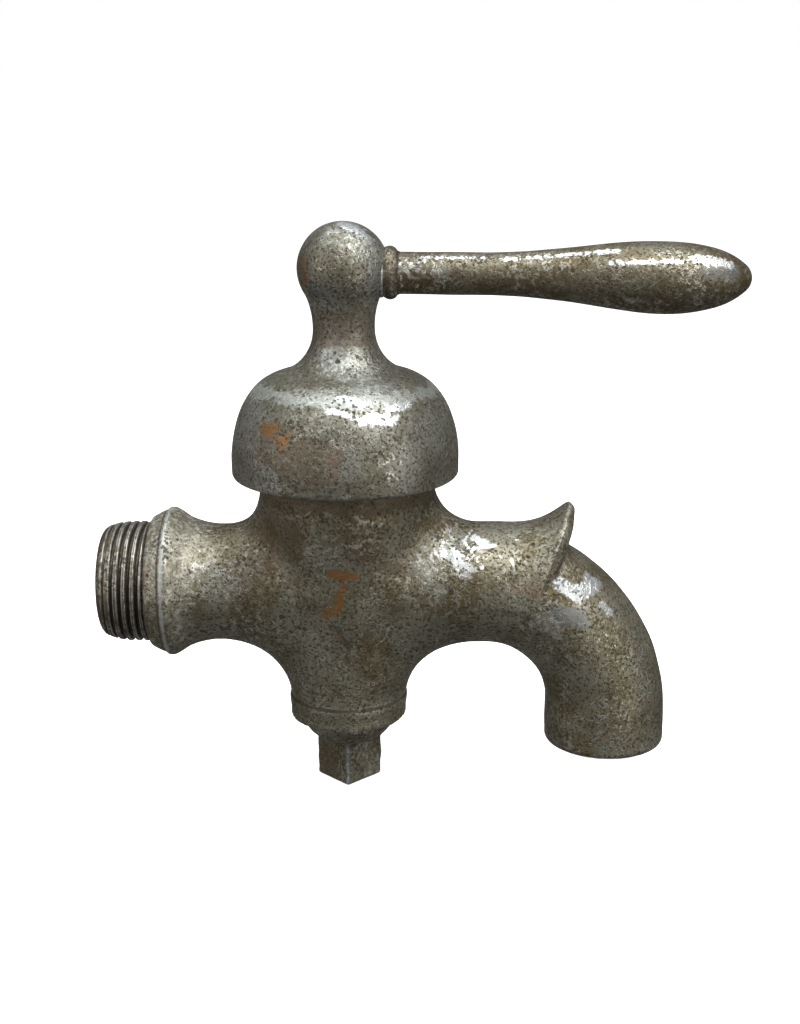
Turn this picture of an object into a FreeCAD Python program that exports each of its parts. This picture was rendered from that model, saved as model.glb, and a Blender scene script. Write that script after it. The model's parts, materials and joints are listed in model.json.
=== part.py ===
"""Self-closing lever faucet in nickel-plated brass, built as separate pieces.

The frame's origin is the centre of the inlet's end face. +X runs towards the spout and +Z
is up. Turned pieces are drawn about the barrel's own axis, which stands at X = inlet_reach,
so every height below is a height above the inlet's axis. Lengths are in millimetres.
"""
import FreeCAD, Part
import Sketcher
import math
import os

from FreeCAD import Placement, Rotation, Vector

SIZES = {
    # overall
    "inlet_reach": 53.5,          # inlet's end face to the barrel's axis
    "spout_reach": 57.3,          # barrel's axis to the outlet's axis
    "outlet_drop": 36.6,          # inlet's axis down to the outlet's end face
    "rim_height": 24.6,           # inlet's axis up to the bell's rim
    "ball_height": 68.5,          # inlet's axis up to the centre of the ball
    "lever_length": 76.4,         # lever's seat on the ball to its tip
    # running fits and seats
    "running_gap": 0.05,          # radial clearance of anything that turns or slides
    "joint_gap": 0.02,            # clearance of screwed and seated pieces
    # inlet
    "thread_radius": 13.2,        # crest of the 3/4 pipe thread
    "thread_length": 10.8,
    "collar_radius": 16.4,
    "collar_rise": 4.4,           # along the axis, thread end to the collar's crest
    "collar_fall": 11.0,          # crest back down to the neck
    "collar_crest": 1.1,          # half the crest's width
    "collar_crown": 0.1,
    "collar_crest_round": 2.2,
    "neck_radius": 12.7,
    "inlet_bore_radius": 8.5,
    "inlet_bore_depth": 20.0,
    # spout
    "spout_radius": 13.2,
    "spout_bore_radius": 10.5,
    "elbow_radius": 27.3,         # centreline of the spout's bend
    "horn_angle": 22.0,           # where the lip stands, round the bend from its start
    "horn_rise": 9.3,             # lip's tip above the elbow's back
    "horn_start": 6.0,            # flare begins this far before the bend
    "horn_inset": 0.15,           # horn stands this far inside the tube
    "horn_middle_share": 0.14,    # of the rise, half way to the lip
    # barrel
    "barrel_radius": 18.6,
    "barrel_rise": 2.4,           # barrel's top above the bell's rim
    "barrel_foot": -22.0,
    "stem_radius": 12.7,
    "stem_bottom": -30.7,
    "bead_radius": 13.2,
    "bead_height": 5.2,
    "bead_edge": 0.8,
    "bead_round": 2.8,
    "under_fillet": 14.0,         # hollow under each branch
    "web_inset": 0.5,             # webs stand this far inside the tubes
    # waterways
    "flange_overhang": 2.9,       # bonnet's flange past the barrel's rim
    "rim_land": 1.0,              # barrel's rim below the bell's rim
    "barrel_wall": 4.1,
    "bonnet_ledge": 1.5,          # step below the bonnet's thread
    "bonnet_seat_depth": 7.0,
    "partition_top": -3.5,
    "partition_bottom": -8.5,
    "seat_thread": 7.0,
    "lower_bore": 9.2,
    "plug_thread": 8.2,
    "plug_thread_length": 6.5,
    "passage_radius": 5.0,
    "passage_wall": 2.6,
    "passage_turn": 50.0,
    "outlet_port": 6.5,
    "outlet_port_height": 3.2,
    "port_wall": 2.4,
    "port_overlap": 0.5,          # one bore's reach into the next
    "passage_overlap": 2.0,
    "passage_run": 6.0,
    "seat_clearance": 0.4,
    "plug_relief": 1.0,
    # seat, washer and valve
    "seat_bore": 5.0,
    "seat_proud": 0.5,
    "seat_flange_radius": 8.6,
    "seat_flange": 1.0,
    "washer_radius": 6.4,
    "washer_thickness": 3.0,
    "cup_radius": 7.4,
    "cup_floor": 2.0,
    "cup_lip": 2.0,
    "washer_nut_flats": 8.0,
    "washer_nut_height": 3.0,
    "stem_thread": 2.4,
    "stem_shank": 3.4,
    "stem_top": 12.0,
    "stem_chamfer": 0.4,
    "stem_nut_proud": 0.5,
    "guide_side": 3.3,
    "guide_length": 11.0,
    # spindle and cam
    "spindle_radius": 4.5,
    "sleeve_radius": 6.2,
    "sleeve_bottom": 0.0,
    "sleeve_bore_depth": 14.0,
    "thrust_radius": 7.5,
    "thrust_height": 2.6,
    "thrust_washer": 0.6,
    "spindle_square": 6.6,
    "square_rise": 4.5,           # top of the square above the ball's centre
    "drive_pin_radius": 1.4,
    "drive_pin_height": 8.0,
    "drive_pin_inset": 0.2,
    "slot_overlap": 0.8,          # cam cutter's reach past the sleeve's wall
    "turn_angle": 90.0,           # of the lever, shut to fully open
    "valve_lift": 4.0,            # of the valve in that turn
    "slot_margin": 25.0,          # angle that each cam slot runs on past the pin
    # bonnet and packing
    "bonnet_flange": 3.0,
    "bonnet_gasket": 0.5,
    "bonnet_gasket_inset": 0.1,
    "bonnet_thread_short": 0.5,   # bonnet's underside above the ledge
    "boss_wall": 2.0,
    "boss_height": 7.5,
    "packing_width": 1.5,
    "packing_floor": 1.5,
    "packing_ring": 1.5,
    "packing_count": 3,
    "gland_height": 3.0,
    "packing_nut_wall": 2.0,
    "packing_nut_height": 7.5,
    "packing_nut_roof": 2.0,
    # bottom plug
    "plug_gasket": 0.5,
    "plug_flange_radius": 10.4,
    "plug_gasket_inset": 0.2,
    "plug_chamfer": 0.6,
    "plug_flange_edge": 0.8,
    "plug_dome": 4.4,
    "plug_dome_round": 4.0,
    "plug_neck_radius": 7.3,
    "plug_square": 10.0,
    "plug_square_length": 10.4,
    "plug_square_round": 0.6,
    "guide_hole_floor": 1.0,
    # handle
    "bell_radius": 24.5,
    "bell_wall": 2.2,
    "bell_clearance": 0.8,        # bell's inside to the bonnet's flange
    "hub_depth": 1.0,             # bottom of the bell's hub below the top of its shoulder
    "bell_skirt": 4.4,
    "bell_height": 22.4,          # rim to the top of the shoulder
    "bell_rim_round": 0.4,
    "skirt_arc": 30.0,            # radii of the bell's outline, rim upwards
    "haunch_arc": 16.0,
    "shoulder_arc": 11.8,
    "crown_hollow": 9.7,
    "neck_hollow": 16.0,
    "haunch_inset": 1.3,          # where those arcs meet
    "haunch_rise": 8.8,
    "shoulder_inset": 3.5,
    "shoulder_drop": 4.7,
    "crown_inset": 10.5,
    "hub_boss": 1.4,              # bell's cavity, from its hub outwards and down
    "cavity_flat": 9.8,
    "cavity_crown": 2.0,
    "cavity_shoulder": 3.4,
    "cavity_shoulder_drop": 5.5,
    "cavity_skirt_drop": 13.0,
    "square_end_gap": 0.1,
    "bell_neck_radius": 6.5,
    "bell_neck_height": 31.3,     # rim to the narrowest place
    "ball_radius": 9.7,
    "ball_neck_angle": 34.5,      # below the ball's waist, where the neck runs into it
    "lever_drop": 0.9,            # lever's axis below the ball's centre
    "lever_seat": 8.5,            # barrel's axis to the lever's shoulder
    "lever_face_run": 1.0,        # cutter's reach past the ball
    "lever_boss_radius": 5.2,
    "lever_thread": 2.0,
    "lever_tail": 14.5,
    "lever_tail_chamfer": 0.4,
    "lever_collar_radius": 5.6,
    "lever_collar": 2.6,
    "lever_collar_edge": 0.6,
    "lever_collar_round": 2.3,
    "lever_collar_step": 0.1,
    "lever_shank_radius": 4.4,
    "lever_shank": 20.3,          # shoulder to where the swell begins
    "lever_swell_arc": 200.0,
    "lever_bat_radius": 7.5,
    "lever_bat_place": 57.9,      # seat to the bat's widest place
    "bat_rear": 12.0,             # where the bat's arcs meet, before and past its widest
    "bat_rear_drop": 0.93,
    "bat_rear_arc": 80.0,
    "bat_front": 9.9,
    "bat_front_drop": 1.13,
    "bat_front_arc": 44.0,
    "bat_end_arc": 16.4,
    "lever_tip_radius": 3.6,
    "lever_tip_angle": 50.0,      # half the angle of the tip's round end
    "lug_overlap": 1.3,           # lug's reach inwards past the stop pins' circle
    "lug_width": 8.0,
    "lug_clearance": 1.0,
    "lug_height": 5.0,
    "lug_angle": 180.0,
    # stops and return spring
    "stop_pin_radius": 1.2,
    "stop_pin_edge": 0.3,         # stop pin's side to the flange's edge
    "stop_pin_height": 4.5,
    "pin_seat_depth": 2.0,
    "spring_to_stops": 0.8,
    "spring_wire": 0.9,
    "spring_pitch": 2.4,
    "spring_turns": 3,
    "spring_clearance": 0.1,
    "hook_pin_radius": 1.1,
    "hook_pin_seat": 2.6,         # top of the pin's hole below the bell's hub
    "hook_hole_start": 0.4,       # of a pitch above the spring's end
}

document = FreeCAD.newDocument("faucet")


class Size:
    """A length that keeps both its number and the sheet formula that gives it."""

    def __init__(self, value, formula=None):
        self.value = float(value)
        self.formula = formula or repr(float(value))

    @staticmethod
    def of(other):
        return other if isinstance(other, Size) else Size(other)

    def combine(self, other, sign, value):
        return Size(value, f"({self.formula} {sign} {Size.of(other).formula})")

    def __add__(self, other):
        return self.combine(other, "+", self.value + Size.of(other).value)

    def __sub__(self, other):
        return self.combine(other, "-", self.value - Size.of(other).value)

    def __mul__(self, other):
        return self.combine(other, "*", self.value * Size.of(other).value)

    def __truediv__(self, other):
        return self.combine(other, "/", self.value / Size.of(other).value)

    def __neg__(self):
        return Size(-self.value, f"(-1 * {self.formula})")

    def __float__(self):
        return self.value


class Sheet:
    """The driving dimensions, read as attributes: sheet.bell_radius is a Size."""

    def __init__(self, sizes):
        cells = document.addObject("Spreadsheet::Sheet", "Dims")
        for row, (alias, value) in enumerate(sizes.items(), start=1):
            cells.set(f"A{row}", alias)
            cells.set(f"B{row}", str(value))
            cells.setAlias(f"B{row}", alias)
            setattr(self, alias, Size(value, f"Dims.{alias}"))


def sine(angle):
    """Sine of a Size in degrees, as a Size."""
    return Size(math.sin(math.radians(float(angle))), f"sin({angle.formula} * 1 deg)")


def cosine(angle):
    """Cosine of a Size in degrees, as a Size."""
    return Size(math.cos(math.radians(float(angle))), f"cos({angle.formula} * 1 deg)")


sheet = Sheet(SIZES)
document.recompute()
ZERO = Size(0)

NEAR = 1e-3     # two lengths this close are the same
# Sizes that follow from others, from the barrel outwards and upwards.
BARREL_TOP = sheet.rim_height + sheet.barrel_rise
PACKING_RADIUS = sheet.spindle_radius + sheet.packing_width
BOSS_RADIUS = PACKING_RADIUS + sheet.boss_wall
PACKING_NUT_FLATS = (BOSS_RADIUS + sheet.packing_nut_wall) * 2
BELL_INNER = sheet.bell_radius - sheet.bell_wall
FLANGE_RADIUS = BELL_INNER - sheet.bell_clearance
RIM_RADIUS = FLANGE_RADIUS - sheet.flange_overhang
BONNET_THREAD = RIM_RADIUS - sheet.barrel_wall
UPPER_BORE = BONNET_THREAD - sheet.bonnet_ledge
BONNET_BOTTOM = BARREL_TOP - sheet.bonnet_seat_depth + sheet.bonnet_thread_short
STOP_CIRCLE = FLANGE_RADIUS - sheet.stop_pin_edge - sheet.stop_pin_radius
SPRING_RADIUS = STOP_CIRCLE - sheet.stop_pin_radius - sheet.spring_to_stops - sheet.spring_wire
SHOULDER_TOP = sheet.rim_height + sheet.bell_height
HUB_BOTTOM = SHOULDER_TOP - sheet.hub_depth
SQUARE_TOP = sheet.ball_height + sheet.square_rise


# ---------------------------------------------------------------- drawing helpers

def bind(target, path, size):
    """Tie one number of an object to the sheet."""
    target.setExpression(path, Size.of(size).formula)


def new_body(name):
    """A body whose own Z axis is the barrel's axis."""
    body = document.addObject("PartDesign::Body", name)
    body.Label = name
    bind(body, "Placement.Base.x", sheet.inlet_reach)
    return body


def plane_of(body, role):
    """The body's own origin plane with this role."""
    return next(item for item in body.Origin.OriginFeatures if item.Role == role)


def new_sketch(body, name, role="XZ_Plane", lift=None, shift=None, turn=None, turn_axis=None):
    """A sketch on an origin plane, lifted along its normal, shifted and turned if asked."""
    sketch = body.newObject("Sketcher::SketchObject", name)
    sketch.AttachmentSupport = (plane_of(body, role), [""])
    sketch.MapMode = "FlatFace"
    if turn is not None:
        sketch.AttachmentOffset = Placement(Vector(), Rotation(turn_axis, float(turn)))
        bind(sketch, "AttachmentOffset.Rotation.Angle", turn)
    if lift is not None:
        bind(sketch, "AttachmentOffset.Base.z", lift)
    if shift is not None:
        bind(sketch, "AttachmentOffset.Base.y", shift)
    document.recompute()
    return sketch


def pin_point(sketch, geometry, end, place):
    """Fix one end of a line or arc by two dimensions from the sketch's origin."""
    for direction, size in zip(("DistanceX", "DistanceY"), place):
        index = sketch.addConstraint(
            Sketcher.Constraint(direction, -1, 1, geometry, end, float(size)))
        bind(sketch, f"Constraints[{index}]", size)


def join(sketch, first, first_end, second, second_end):
    """Make two ends in a sketch one point."""
    sketch.addConstraint(
        Sketcher.Constraint("Coincident", first, first_end, second, second_end))


def arc_between(start, finish, radius, side):
    """Arc from start to finish with its centre to the left (side 1) or right (side -1)."""
    chord = finish - start
    middle = (start + finish) * 0.5
    reach = math.sqrt(max(radius ** 2 - (chord.Length / 2) ** 2, 0.0))
    normal = Vector(-chord.y, chord.x, 0).normalize() * side
    centre = middle + normal * reach
    first, last = (start, finish) if side > 0 else (finish, start)
    from_angle = math.atan2(first.y - centre.y, first.x - centre.x)
    to_angle = math.atan2(last.y - centre.y, last.x - centre.x)
    return Part.ArcOfCircle(Part.Circle(centre, Vector(0, 0, 1), radius), from_angle, to_angle)


def draw_path(sketch, corners, closed=True):
    """Draw straight runs and arcs through the corners.

    A corner is (x, y), or (x, y, radius, side) where an arc leads on to the next corner.
    """
    edges = []
    count = len(corners) if closed else len(corners) - 1
    for index in range(count):
        corner, following = corners[index], corners[(index + 1) % len(corners)]
        start = Vector(float(corner[0]), float(corner[1]), 0)
        finish = Vector(float(following[0]), float(following[1]), 0)
        if len(corner) == 2:
            geometry = sketch.addGeometry(Part.LineSegment(start, finish), False)
            edges.append((geometry, 1, 2))
            continue
        radius, side = corner[2], corner[3]
        geometry = sketch.addGeometry(arc_between(start, finish, float(radius), side), False)
        edges.append((geometry, 1, 2) if side > 0 else (geometry, 2, 1))
        index_of = sketch.addConstraint(Sketcher.Constraint("Radius", geometry, float(radius)))
        bind(sketch, f"Constraints[{index_of}]", radius)
    for (geometry, first, last), corner in zip(edges, corners):
        pin_point(sketch, geometry, first, corner[:2])
    for index, (geometry, first, last) in enumerate(edges):
        if closed or index + 1 < len(edges):
            following = edges[(index + 1) % len(edges)]
            join(sketch, geometry, last, following[0], following[1])
    if not closed:
        geometry, first, last = edges[-1]
        pin_point(sketch, geometry, last, corners[-1][:2])


def draw_circle(sketch, radius, x=ZERO, y=ZERO):
    """Draw a circle with its centre and radius tied to the sheet."""
    centre = Vector(float(x), float(y), 0)
    geometry = sketch.addGeometry(Part.Circle(centre, Vector(0, 0, 1), float(radius)), False)
    index = sketch.addConstraint(Sketcher.Constraint("Radius", geometry, float(radius)))
    bind(sketch, f"Constraints[{index}]", radius)
    pin_point(sketch, geometry, 3, (x, y))


def polygon(sides, flats, first_angle=0.0):
    """Corners of a regular polygon of this width across its flats."""
    corner_radius = Size.of(flats) / (2 * math.cos(math.pi / sides))
    angles = [first_angle + 2 * math.pi * step / sides for step in range(sides)]
    return [(corner_radius * math.cos(angle), corner_radius * math.sin(angle))
            for angle in angles]


def feature(body, kind, name, profile):
    """Add a feature made from a sketch."""
    item = body.newObject(f"PartDesign::{kind}", name)
    item.Profile = profile
    profile.Visibility = False
    return item


def volume_of(body):
    return body.Shape.Volume if not body.Shape.isNull() else 0.0


def settle(body, before, grows):
    """Recompute and make sure that the last feature added or removed material."""
    document.recompute()
    change = volume_of(body) - before
    if (change > 0) != grows or abs(change) < 1e-6:
        raise ValueError(f"{body.Label}: {body.Tip.Name} changed the volume by {change:.3f}")


def turn(body, name, corners, axis="V_Axis", cut=False):
    """Revolve an outline on the XZ plane about a sketch axis, to add or to cut."""
    before = volume_of(body)
    sketch = new_sketch(body, f"{name}_outline")
    draw_path(sketch, corners)
    item = feature(body, "Groove" if cut else "Revolution", name, sketch)
    item.ReferenceAxis = (sketch, [axis])
    item.Angle = 360.0
    settle(body, before, grows=not cut)
    return item


def prism(body, name, corners, bottom, top, cut=False, turn=None):
    """Raise or cut a straight prism between two heights; a Size for corners is a radius."""
    before = volume_of(body)
    base = top if cut else bottom
    axis = Vector(0, 0, 1)
    sketch = new_sketch(body, f"{name}_outline", "XY_Plane", lift=base, turn=turn, turn_axis=axis)
    if isinstance(corners, Size):
        draw_circle(sketch, corners)
    else:
        draw_path(sketch, corners)
    item = feature(body, "Pocket" if cut else "Pad", name, sketch)
    bind(item, "Length", Size.of(top) - bottom)
    settle(body, before, grows=not cut)
    return item


def cross_bore(body, name, radius, start, finish, height, cut=True):
    """A round bar or hole along X between two distances from the barrel's axis."""
    before = volume_of(body)
    sketch = new_sketch(body, f"{name}_outline", "YZ_Plane", lift=start)
    draw_circle(sketch, radius, ZERO, height)
    item = feature(body, "Pocket" if cut else "Pad", name, sketch)
    item.Reversed = cut
    bind(item, "Length", Size.of(finish) - start)
    settle(body, before, grows=not cut)
    return item


def sweep(body, name, radius, path_corners, start_x, start_height, cut=False):
    """Carry a circle along a path in the XZ plane that leaves start_x along X."""
    before = volume_of(body)
    path = new_sketch(body, f"{name}_path")
    draw_path(path, path_corners, closed=False)
    ring = new_sketch(body, f"{name}_section", "YZ_Plane", lift=start_x)
    draw_circle(ring, radius, ZERO, start_height)
    item = feature(body, "SubtractivePipe" if cut else "AdditivePipe", name, ring)
    item.Spine = (path, [f"Edge{index + 1}" for index in range(path.GeometryCount)])
    settle(body, before, grows=not cut)
    return item


def cylinder(name, radius, height, place):
    """A plain pin standing at place, measured from the barrel's axis."""
    pin = document.addObject("Part::Cylinder", name)
    bind(pin, "Radius", radius)
    bind(pin, "Height", height)
    bind(pin, "Placement.Base.x", sheet.inlet_reach + place[0])
    bind(pin, "Placement.Base.y", place[1])
    bind(pin, "Placement.Base.z", place[2])
    return pin


# ---------------------------------------------------------------- faucet body

def make_faucet_body():
    """One casting: inlet, barrel, spout with its lip, and the waterway with its partition."""
    body = new_body("faucet_body")
    foot = sheet.stem_bottom
    turn(body, "barrel", [
        (ZERO, BARREL_TOP),
        (RIM_RADIUS, BARREL_TOP),
        (RIM_RADIUS, sheet.rim_height - sheet.rim_land),
        (sheet.barrel_radius, sheet.rim_height - sheet.bell_skirt),
        (sheet.stem_radius, sheet.barrel_foot),
        (sheet.stem_radius, foot + sheet.bead_height),
        (sheet.bead_radius, foot + sheet.bead_height - sheet.bead_edge),
        (sheet.bead_radius, foot + sheet.bead_height / 2, sheet.bead_round, -1),
        (sheet.plug_flange_radius, foot),
        (ZERO, foot),
    ])
    end = -sheet.inlet_reach
    root = end + sheet.thread_length
    crest = root + sheet.collar_rise
    neck = crest + sheet.collar_fall
    turn(body, "inlet", [
        (end, ZERO),
        (end, sheet.thread_radius),
        (root, sheet.thread_radius),
        (crest - sheet.collar_crest, sheet.collar_radius - sheet.collar_crown,
         sheet.collar_crest_round, -1),
        (crest + sheet.collar_crest, sheet.collar_radius - sheet.collar_crown * 2),
        (neck, sheet.neck_radius),
        (ZERO, sheet.neck_radius),
        (ZERO, ZERO),
    ], axis="H_Axis")
    bend_x = sheet.spout_reach - sheet.elbow_radius
    spout_path = [
        (ZERO, ZERO),
        (bend_x, ZERO, sheet.elbow_radius, -1),
        (sheet.spout_reach, -sheet.elbow_radius),
        (sheet.spout_reach, -sheet.outlet_drop),
    ]
    sweep(body, "spout", sheet.spout_radius, spout_path, ZERO, ZERO)
    web_radius = sheet.stem_radius - sheet.web_inset
    web_bend = sheet.under_fillet + web_radius
    sweep(body, "spout_web", web_radius, [
        (web_bend, ZERO, web_bend, 1),
        (ZERO, -web_bend),
    ], web_bend, ZERO)
    sweep(body, "inlet_web", web_radius, [
        (-web_bend, ZERO, web_bend, -1),
        (ZERO, -web_bend),
    ], -web_bend, ZERO)
    make_horn(body, bend_x)
    cut_waterway(body, bend_x, web_bend)
    return body


def make_horn(body, bend_x):
    """The flared lip on the spout's back: three sections lofted round the bend."""
    before = volume_of(body)
    inner = sheet.spout_radius - sheet.horn_inset
    steps = [(None, ZERO), (sheet.horn_angle / 2, sheet.horn_rise * sheet.horn_middle_share),
             (sheet.horn_angle, sheet.horn_rise)]
    sections = []
    for index, (angle, rise) in enumerate(steps):
        name = f"horn_section_{index}"
        if angle is None:
            sketch = new_sketch(body, name, "YZ_Plane", lift=bend_x - sheet.horn_start)
        else:
            centre_x = bend_x + sheet.elbow_radius * sine(angle)
            centre_z = sheet.elbow_radius * cosine(angle) - sheet.elbow_radius
            sketch = new_sketch(body, name, "YZ_Plane", lift=centre_x, shift=centre_z,
                                turn=angle, turn_axis=Vector(1, 0, 0))
        draw_lip(sketch, inner, inner + rise)
        sections.append(sketch)
    loft = feature(body, "AdditiveLoft", "horn", sections[0])
    loft.Sections = sections[1:]
    settle(body, before, grows=True)


def draw_lip(sketch, half_width, half_height):
    """Closed outline: half an ellipse above the tube's centre, half a circle below."""
    wide, tall = float(half_width), float(half_height)
    origin, normal = Vector(), Vector(0, 0, 1)
    right = (half_width, ZERO)
    if tall - wide < NEAR:
        upper = sketch.addGeometry(
            Part.ArcOfCircle(Part.Circle(origin, normal, wide), 0, math.pi), False)
    else:
        ellipse = Part.Ellipse(Vector(0, tall, 0), Vector(-wide, 0, 0), origin)
        upper = sketch.addGeometry(Part.ArcOfEllipse(ellipse, -math.pi / 2, math.pi / 2), False)
        sketch.exposeInternalGeometry(upper)
        major_axis = upper + 1
        top_end = 1 if sketch.getPoint(major_axis, 1).y > 0 else 2
        pin_point(sketch, major_axis, top_end, (ZERO, half_height))
    pin_point(sketch, upper, 3, (ZERO, ZERO))
    pin_point(sketch, upper, 1, right)
    lower = sketch.addGeometry(
        Part.ArcOfCircle(Part.Circle(origin, normal, wide), math.pi, 2 * math.pi), False)
    join(sketch, upper, 3, lower, 3)
    join(sketch, upper, 2, lower, 1)
    join(sketch, lower, 2, upper, 1)
    index = sketch.addConstraint(Sketcher.Constraint("Radius", lower, wide))
    bind(sketch, f"Constraints[{index}]", half_width)


def cut_waterway(body, bend_x, web_bend):
    """Bore the chambers above and below the partition and the ways in and out."""
    mouth = BARREL_TOP - sheet.bonnet_seat_depth
    turn(body, "upper_chamber", [
        (ZERO, BARREL_TOP),
        (BONNET_THREAD, BARREL_TOP),
        (BONNET_THREAD, mouth),
        (UPPER_BORE, mouth),
        (UPPER_BORE, sheet.partition_top + sheet.seat_flange_radius),
        (sheet.seat_flange_radius + sheet.seat_clearance, sheet.partition_top),
        (ZERO, sheet.partition_top),
    ], cut=True)
    prism(body, "seat_hole", sheet.seat_thread, sheet.partition_bottom, sheet.partition_top, cut=True)
    plug_top = sheet.stem_bottom + sheet.plug_thread_length
    turn(body, "lower_chamber", [
        (ZERO, sheet.partition_bottom),
        (sheet.lower_bore, sheet.partition_bottom),
        (sheet.lower_bore, plug_top + sheet.plug_relief),
        (sheet.plug_thread, plug_top),
        (sheet.plug_thread, sheet.stem_bottom),
        (ZERO, sheet.stem_bottom),
    ], cut=True)
    end = -sheet.inlet_reach
    floor = end + sheet.inlet_bore_depth
    turn(body, "inlet_bore", [
        (end, ZERO),
        (end, sheet.inlet_bore_radius),
        (floor, sheet.inlet_bore_radius),
        (floor + sheet.inlet_bore_radius / 2, ZERO),
    ], axis="H_Axis", cut=True)
    way_bend = sheet.under_fillet + sheet.passage_wall + sheet.passage_radius
    way_height = way_bend - web_bend
    way_start = floor - sheet.passage_overlap
    turned_x = way_bend * sine(sheet.passage_turn) - web_bend
    turned_z = way_bend * cosine(sheet.passage_turn) - web_bend
    sweep(body, "inlet_passage", sheet.passage_radius, [
        (way_start, way_height),
        (-web_bend, way_height, way_bend, -1),
        (turned_x, turned_z),
        (turned_x + cosine(sheet.passage_turn) * sheet.passage_run,
         turned_z - sine(sheet.passage_turn) * sheet.passage_run),
    ], way_start, way_height, cut=True)
    spout_start = UPPER_BORE + sheet.port_wall
    cross_bore(body, "outlet_port", sheet.outlet_port, sheet.seat_flange_radius,
               spout_start + sheet.port_overlap, sheet.outlet_port_height)
    sweep(body, "spout_bore", sheet.spout_bore_radius, [
        (spout_start, ZERO),
        (bend_x, ZERO, sheet.elbow_radius, -1),
        (sheet.spout_reach, -sheet.elbow_radius),
        (sheet.spout_reach, -sheet.outlet_drop),
    ], spout_start, ZERO, cut=True)


# ---------------------------------------------------------------- valve seat and washer

def make_seat_ring():
    """Renewable brass seat, screwed down into the partition."""
    body = new_body("seat_ring")
    bottom = sheet.partition_bottom - sheet.seat_proud
    thread = sheet.seat_thread - sheet.joint_gap
    flange = sheet.partition_top + sheet.seat_flange
    turn(body, "ring", [
        (sheet.seat_bore, bottom),
        (thread, bottom),
        (thread, sheet.partition_top),
        (sheet.seat_flange_radius, sheet.partition_top),
        (sheet.seat_flange_radius, flange),
        (sheet.seat_bore, flange),
    ])


def washer_top():
    """Height of the washer's face against the seat when the valve is shut."""
    return sheet.partition_bottom - sheet.seat_proud - sheet.joint_gap


def make_valve_washer():
    """Rubber washer that closes upwards on the seat."""
    body = new_body("valve_washer")
    top = washer_top()
    bottom = top - sheet.washer_thickness
    hole = sheet.stem_thread + sheet.joint_gap
    turn(body, "ring", [
        (hole, bottom), (sheet.washer_radius, bottom), (sheet.washer_radius, top), (hole, top)])


def cup_floor_top():
    """Height of the cup's floor, which the washer lies on."""
    return washer_top() - sheet.washer_thickness


def make_washer_cup():
    """Brass cup that holds the washer's rim."""
    body = new_body("washer_cup")
    floor = cup_floor_top()
    hole = sheet.stem_thread + sheet.joint_gap
    recess = sheet.washer_radius + sheet.joint_gap
    turn(body, "cup", [
        (hole, floor - sheet.cup_floor),
        (sheet.cup_radius, floor - sheet.cup_floor),
        (sheet.cup_radius, floor + sheet.cup_lip),
        (recess, floor + sheet.cup_lip),
        (recess, floor),
        (hole, floor),
    ])


def make_washer_nut():
    """Small hexagon nut that clamps cup and washer against the stem's shoulder."""
    body = new_body("washer_nut")
    top = cup_floor_top() - sheet.cup_floor
    bottom = top - sheet.washer_nut_height
    prism(body, "hexagon", polygon(6, sheet.washer_nut_flats), bottom, top)
    prism(body, "hole", sheet.stem_thread + sheet.joint_gap, bottom, top, cut=True)


def stem_thread_end():
    """Height of the end of the stem's thread, just below its nut."""
    return cup_floor_top() - sheet.cup_floor - sheet.washer_nut_height - sheet.stem_nut_proud


def make_valve_stem():
    """Plunger in the spindle's sleeve, with the washer's thread and the square guide below."""
    body = new_body("valve_stem")
    shoulder = washer_top()
    thread_end = stem_thread_end()
    turn(body, "shank", [
        (ZERO, sheet.stem_top),
        (sheet.stem_shank - sheet.stem_chamfer, sheet.stem_top),
        (sheet.stem_shank, sheet.stem_top - sheet.stem_chamfer),
        (sheet.stem_shank, shoulder),
        (sheet.stem_thread, shoulder),
        (sheet.stem_thread, thread_end),
        (ZERO, thread_end),
    ])
    prism(body, "guide", polygon(4, sheet.guide_side, math.pi / 4),
          thread_end - sheet.guide_length, thread_end)
    before = volume_of(body)
    hole = new_sketch(body, "pin_hole_outline", lift=-sheet.stem_shank)
    draw_circle(hole, sheet.drive_pin_radius + sheet.joint_gap, ZERO, sheet.drive_pin_height)
    item = feature(body, "Pocket", "pin_hole", hole)
    item.Reversed = True
    bind(item, "Length", sheet.stem_shank * 2)
    settle(body, before, grows=False)


def make_drive_pin():
    """Cross pin of the stem, with both ends riding in the spindle's cam slots."""
    reach = sheet.sleeve_radius - sheet.drive_pin_inset
    pin = cylinder("drive_pin", sheet.drive_pin_radius, reach * 2,
                   (ZERO, reach, sheet.drive_pin_height))
    pin.Placement = Placement(pin.Placement.Base, Rotation(Vector(1, 0, 0), 90))
    bind(pin, "Placement.Base.y", reach)


# ---------------------------------------------------------------- bonnet and packing

def bonnet_base():
    """Height of the underside of the bonnet's flange."""
    return BARREL_TOP + sheet.bonnet_gasket


def bonnet_top():
    """Height of the top of the bonnet's flange."""
    return bonnet_base() + sheet.bonnet_flange


def make_bonnet():
    """Screwed cover of the barrel with the stuffing box standing on it."""
    body = new_body("bonnet")
    thread = BONNET_THREAD - sheet.joint_gap
    boss_top = bonnet_top() + sheet.boss_height
    box_floor = bonnet_top() + sheet.packing_floor
    hole = sheet.spindle_radius + sheet.running_gap
    turn(body, "cover", [
        (hole, BONNET_BOTTOM),
        (thread, BONNET_BOTTOM),
        (thread, bonnet_base()),
        (FLANGE_RADIUS, bonnet_base()),
        (FLANGE_RADIUS, bonnet_top()),
        (BOSS_RADIUS, bonnet_top()),
        (BOSS_RADIUS, boss_top),
        (PACKING_RADIUS, boss_top),
        (PACKING_RADIUS, box_floor),
        (hole, box_floor),
    ])
    for name, angle in stop_angles().items():
        pin_seat(body, name, STOP_CIRCLE, angle, sheet.stop_pin_radius)
    pin_seat(body, "spring_anchor_seat", SPRING_RADIUS, anchor_angle(), sheet.stop_pin_radius)


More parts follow.
